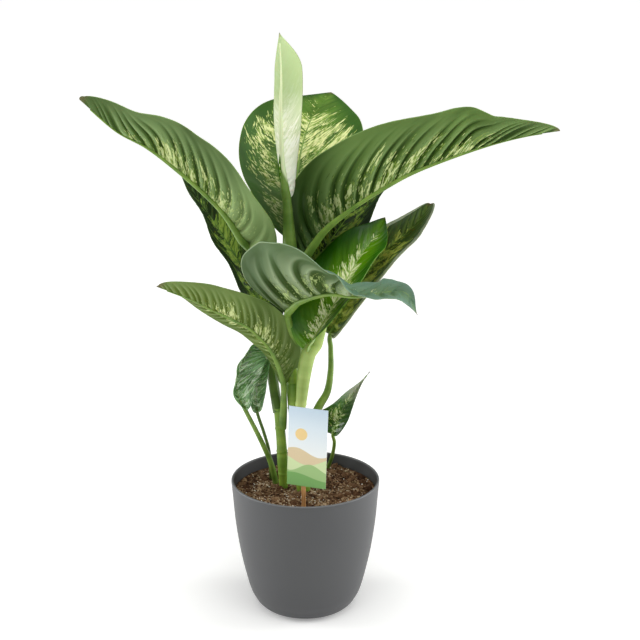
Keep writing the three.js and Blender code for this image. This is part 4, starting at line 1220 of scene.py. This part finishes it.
class StudioSettings(bpy.types.PropertyGroup):
    """Light of the studio."""
    sky: bpy.props.FloatProperty(
        name="Sky", description="Light that comes evenly from everywhere", default=0.24, min=0.0)
    key: bpy.props.FloatProperty(
        name="Key light", description="Power of the softbox above, in watts", default=22.0, min=0.0)
    sides: bpy.props.FloatProperty(
        name="Side lights", description="Power of each softbox beside the plant, in watts", default=14.0,
        min=0.0)
    glow: bpy.props.FloatProperty(
        name="Floor glow", description="Light that the white floor gives of itself far away", default=0.79,
        min=0.0)
    glow_near: bpy.props.FloatProperty(
        name="Floor glow by the pot", description="Light that the floor gives near the pot", default=0.4,
        min=0.0)


# Operators

class DIEFFENBACHIA_OT_leaves(bpy.types.Operator):
    """Make the thirteen leaves with their stalks, and the two small blades beside them"""
    bl_idname = "dieffenbachia.leaves"
    bl_label = "Leaves"

    def execute(self, context):
        sizes = context.scene.dieffenbachia_leaves
        blades = {name: blade_material(name, look) for name, look in BLADES.items()}
        stalks = {name: stalk_material(name, look) for name, look in STALKS.items()}
        tree = leaf_tree(stem_tree())
        for number, (node, leaf) in enumerate([*LEAVES.items(), *TRIMS.items()]):
            upper, under, stalk = leaf["finish"]
            large = min(1.0, max(LEAST_VEINS, max(leaf["half"]) / LARGE_HALF))
            mesh = evaluated(leaf_mesh(leaf, number, sizes.mesh_step / MM), tree, {
                "Blade thickness": sizes.blade_thickness,
                "Vein spacing": sizes.vein_spacing * large * leaf.get("veins", 1),
                "Vein height": sizes.vein_height * large * leaf.get("relief", 1),
                "Upper side": blades[upper],
                "Underside": blades[under],
                "Stalk": stalks[stalk],
            })
            nodes = [node] if node in LEAVES else []
            place_piece(node.replace("leaf_", "blade_"), mesh, nodes)
        return {"FINISHED"}


class DIEFFENBACHIA_OT_canes(bpy.types.Operator):
    """Make the two canes that the leaves grow from"""
    bl_idname = "dieffenbachia.canes"
    bl_label = "Canes"

    def execute(self, context):
        tree = cane_tree(stem_tree())
        material = stalk_material("cane", CANE_LOOK)
        for node, cane in CANES.items():
            mesh = evaluated(cane_path(cane), tree, {"Material": material})
            place_piece(node.replace("cane_", "stem_"), mesh, [node])
        return {"FINISHED"}


class DIEFFENBACHIA_OT_pot(bpy.types.Operator):
    """Make the plastic pot"""
    bl_idname = "dieffenbachia.pot"
    bl_label = "Pot"

    def execute(self, context):
        settings = context.scene.dieffenbachia_pot
        points = pot_profile()
        mesh = evaluated(mesh_of("profile", points, [], [], {}), turned_tree(), {
            "Segments": settings.segments,
            "Profile points": len(points),
            "Material": pot_material(tuple(settings.colour)),
        })
        place_piece("grower_pot", mesh, ["pot"])
        return {"FINISHED"}


class DIEFFENBACHIA_OT_compost(bpy.types.Operator):
    """Make the compost with its crumbs, chips and fibres"""
    bl_idname = "dieffenbachia.compost"
    bl_label = "Compost"

    def execute(self, context):
        settings = context.scene.dieffenbachia_compost
        surface = compost_surface(settings.unevenness / MM)
        mesh = evaluated(surface, scatter_tree(), {"Seed": settings.seed, "Material": compost_material()})
        place_piece("compost", mesh, ["soil"])
        return {"FINISHED"}


class DIEFFENBACHIA_OT_label(bpy.types.Operator):
    """Make the plant label: a printed card on a stick"""
    bl_idname = "dieffenbachia.label"
    bl_label = "Plant label"

    def execute(self, context):
        settings = context.scene.dieffenbachia_label
        card = card_mesh(settings.bow / MM, settings.thickness / MM)
        card.materials.append(card_material())
        place_piece("label_card", card, ["tag_card"])
        stick = stick_mesh()
        stick.materials.append(wood_material())
        place_piece("label_stick", stick, ["tag_stick"])
        return {"FINISHED"}


class DIEFFENBACHIA_OT_studio(bpy.types.Operator):
    """Make the white floor, the lights and the camera"""
    bl_idname = "dieffenbachia.studio"
    bl_label = "Studio"

    def execute(self, context):
        settings = context.scene.dieffenbachia_studio
        scene = context.scene
        corners = [(x * FLOOR_HALF, y * FLOOR_HALF, 0) for x, y in ((-1, -1), (1, -1), (1, 1), (-1, 1))]
        mesh = bpy.data.meshes.new("floor")
        mesh.from_pydata(corners, [], [(0, 1, 2, 3)])
        mesh.materials.append(floor_material(settings.glow, settings.glow_near))
        floor = bpy.data.objects.new("floor", mesh)
        scene.collection.objects.link(floor)
        for name, place, size, power in SOFTBOXES:
            light = bpy.data.lights.new(name, "AREA")
            light.shape = "RECTANGLE"
            light.size, light.size_y = size
            light.energy = getattr(settings, power)
            lamp = bpy.data.objects.new(name, light)
            lamp.location = place
            lamp.rotation_mode = "QUATERNION"
            lamp.rotation_quaternion = (Vector(LIGHT_AIM) - Vector(place)).to_track_quat("-Z", "Y")
            scene.collection.objects.link(lamp)
        world = bpy.data.worlds.new("studio")
        world.use_nodes = True
        background = world.node_tree.nodes["Background"]
        background.inputs["Color"].default_value = linear("#ffffff")
        background.inputs["Strength"].default_value = settings.sky
        scene.world = world
        scene.view_settings.view_transform = "Standard"
        camera = bpy.data.objects.new("camera", bpy.data.cameras.new("camera"))
        camera.data.sensor_width = CAMERA_SENSOR
        camera.data.lens = CAMERA_LENS
        camera.location = CAMERA_PLACE
        camera.rotation_euler = (math.radians(90 - CAMERA_PITCH), 0, 0)
        scene.collection.objects.link(camera)
        scene.camera = camera
        return {"FINISHED"}


class DIEFFENBACHIA_PT_panel(bpy.types.Panel):
    """Lists the makers of the plant's pieces"""
    bl_idname = "DIEFFENBACHIA_PT_panel"
    bl_label = "Potted dieffenbachia"
    bl_space_type = "VIEW_3D"
    bl_region_type = "UI"
    bl_category = "Dieffenbachia"

    def draw(self, context):
        for operator, settings in STEPS_IN_ORDER:
            box = self.layout.box()
            box.operator(operator.bl_idname)
            if settings:
                group = getattr(context.scene, settings)
                for name in group.__annotations__:
                    box.prop(group, name)


# Each operator with the name of its settings in the scene
STEPS_IN_ORDER = [
    (DIEFFENBACHIA_OT_canes, None),
    (DIEFFENBACHIA_OT_leaves, "dieffenbachia_leaves"),
    (DIEFFENBACHIA_OT_pot, "dieffenbachia_pot"),
    (DIEFFENBACHIA_OT_compost, "dieffenbachia_compost"),
    (DIEFFENBACHIA_OT_label, "dieffenbachia_label"),
    (DIEFFENBACHIA_OT_studio, "dieffenbachia_studio"),
]
SETTINGS = {
    "dieffenbachia_leaves": LeafSettings,
    "dieffenbachia_pot": PotSettings,
    "dieffenbachia_compost": CompostSettings,
    "dieffenbachia_label": LabelSettings,
    "dieffenbachia_studio": StudioSettings,
}
CLASSES = [*SETTINGS.values(), *(operator for operator, _ in STEPS_IN_ORDER), DIEFFENBACHIA_PT_panel]


def register():
    """Registers the classes, and hangs the settings on the scene."""
    for cls in CLASSES:
        bpy.utils.register_class(cls)
    for name, group in SETTINGS.items():
        setattr(bpy.types.Scene, name, bpy.props.PointerProperty(type=group))


def unregister():
    """Takes away what register added."""
    for name in SETTINGS:
        delattr(bpy.types.Scene, name)
    for cls in reversed(CLASSES):
        bpy.utils.unregister_class(cls)


def main():
    """Makes every piece."""
    register()
    for operator, _ in STEPS_IN_ORDER:
        family, name = operator.bl_idname.split(".")
        getattr(getattr(bpy.ops, family), name)()


if __name__ == "__main__":
    main()
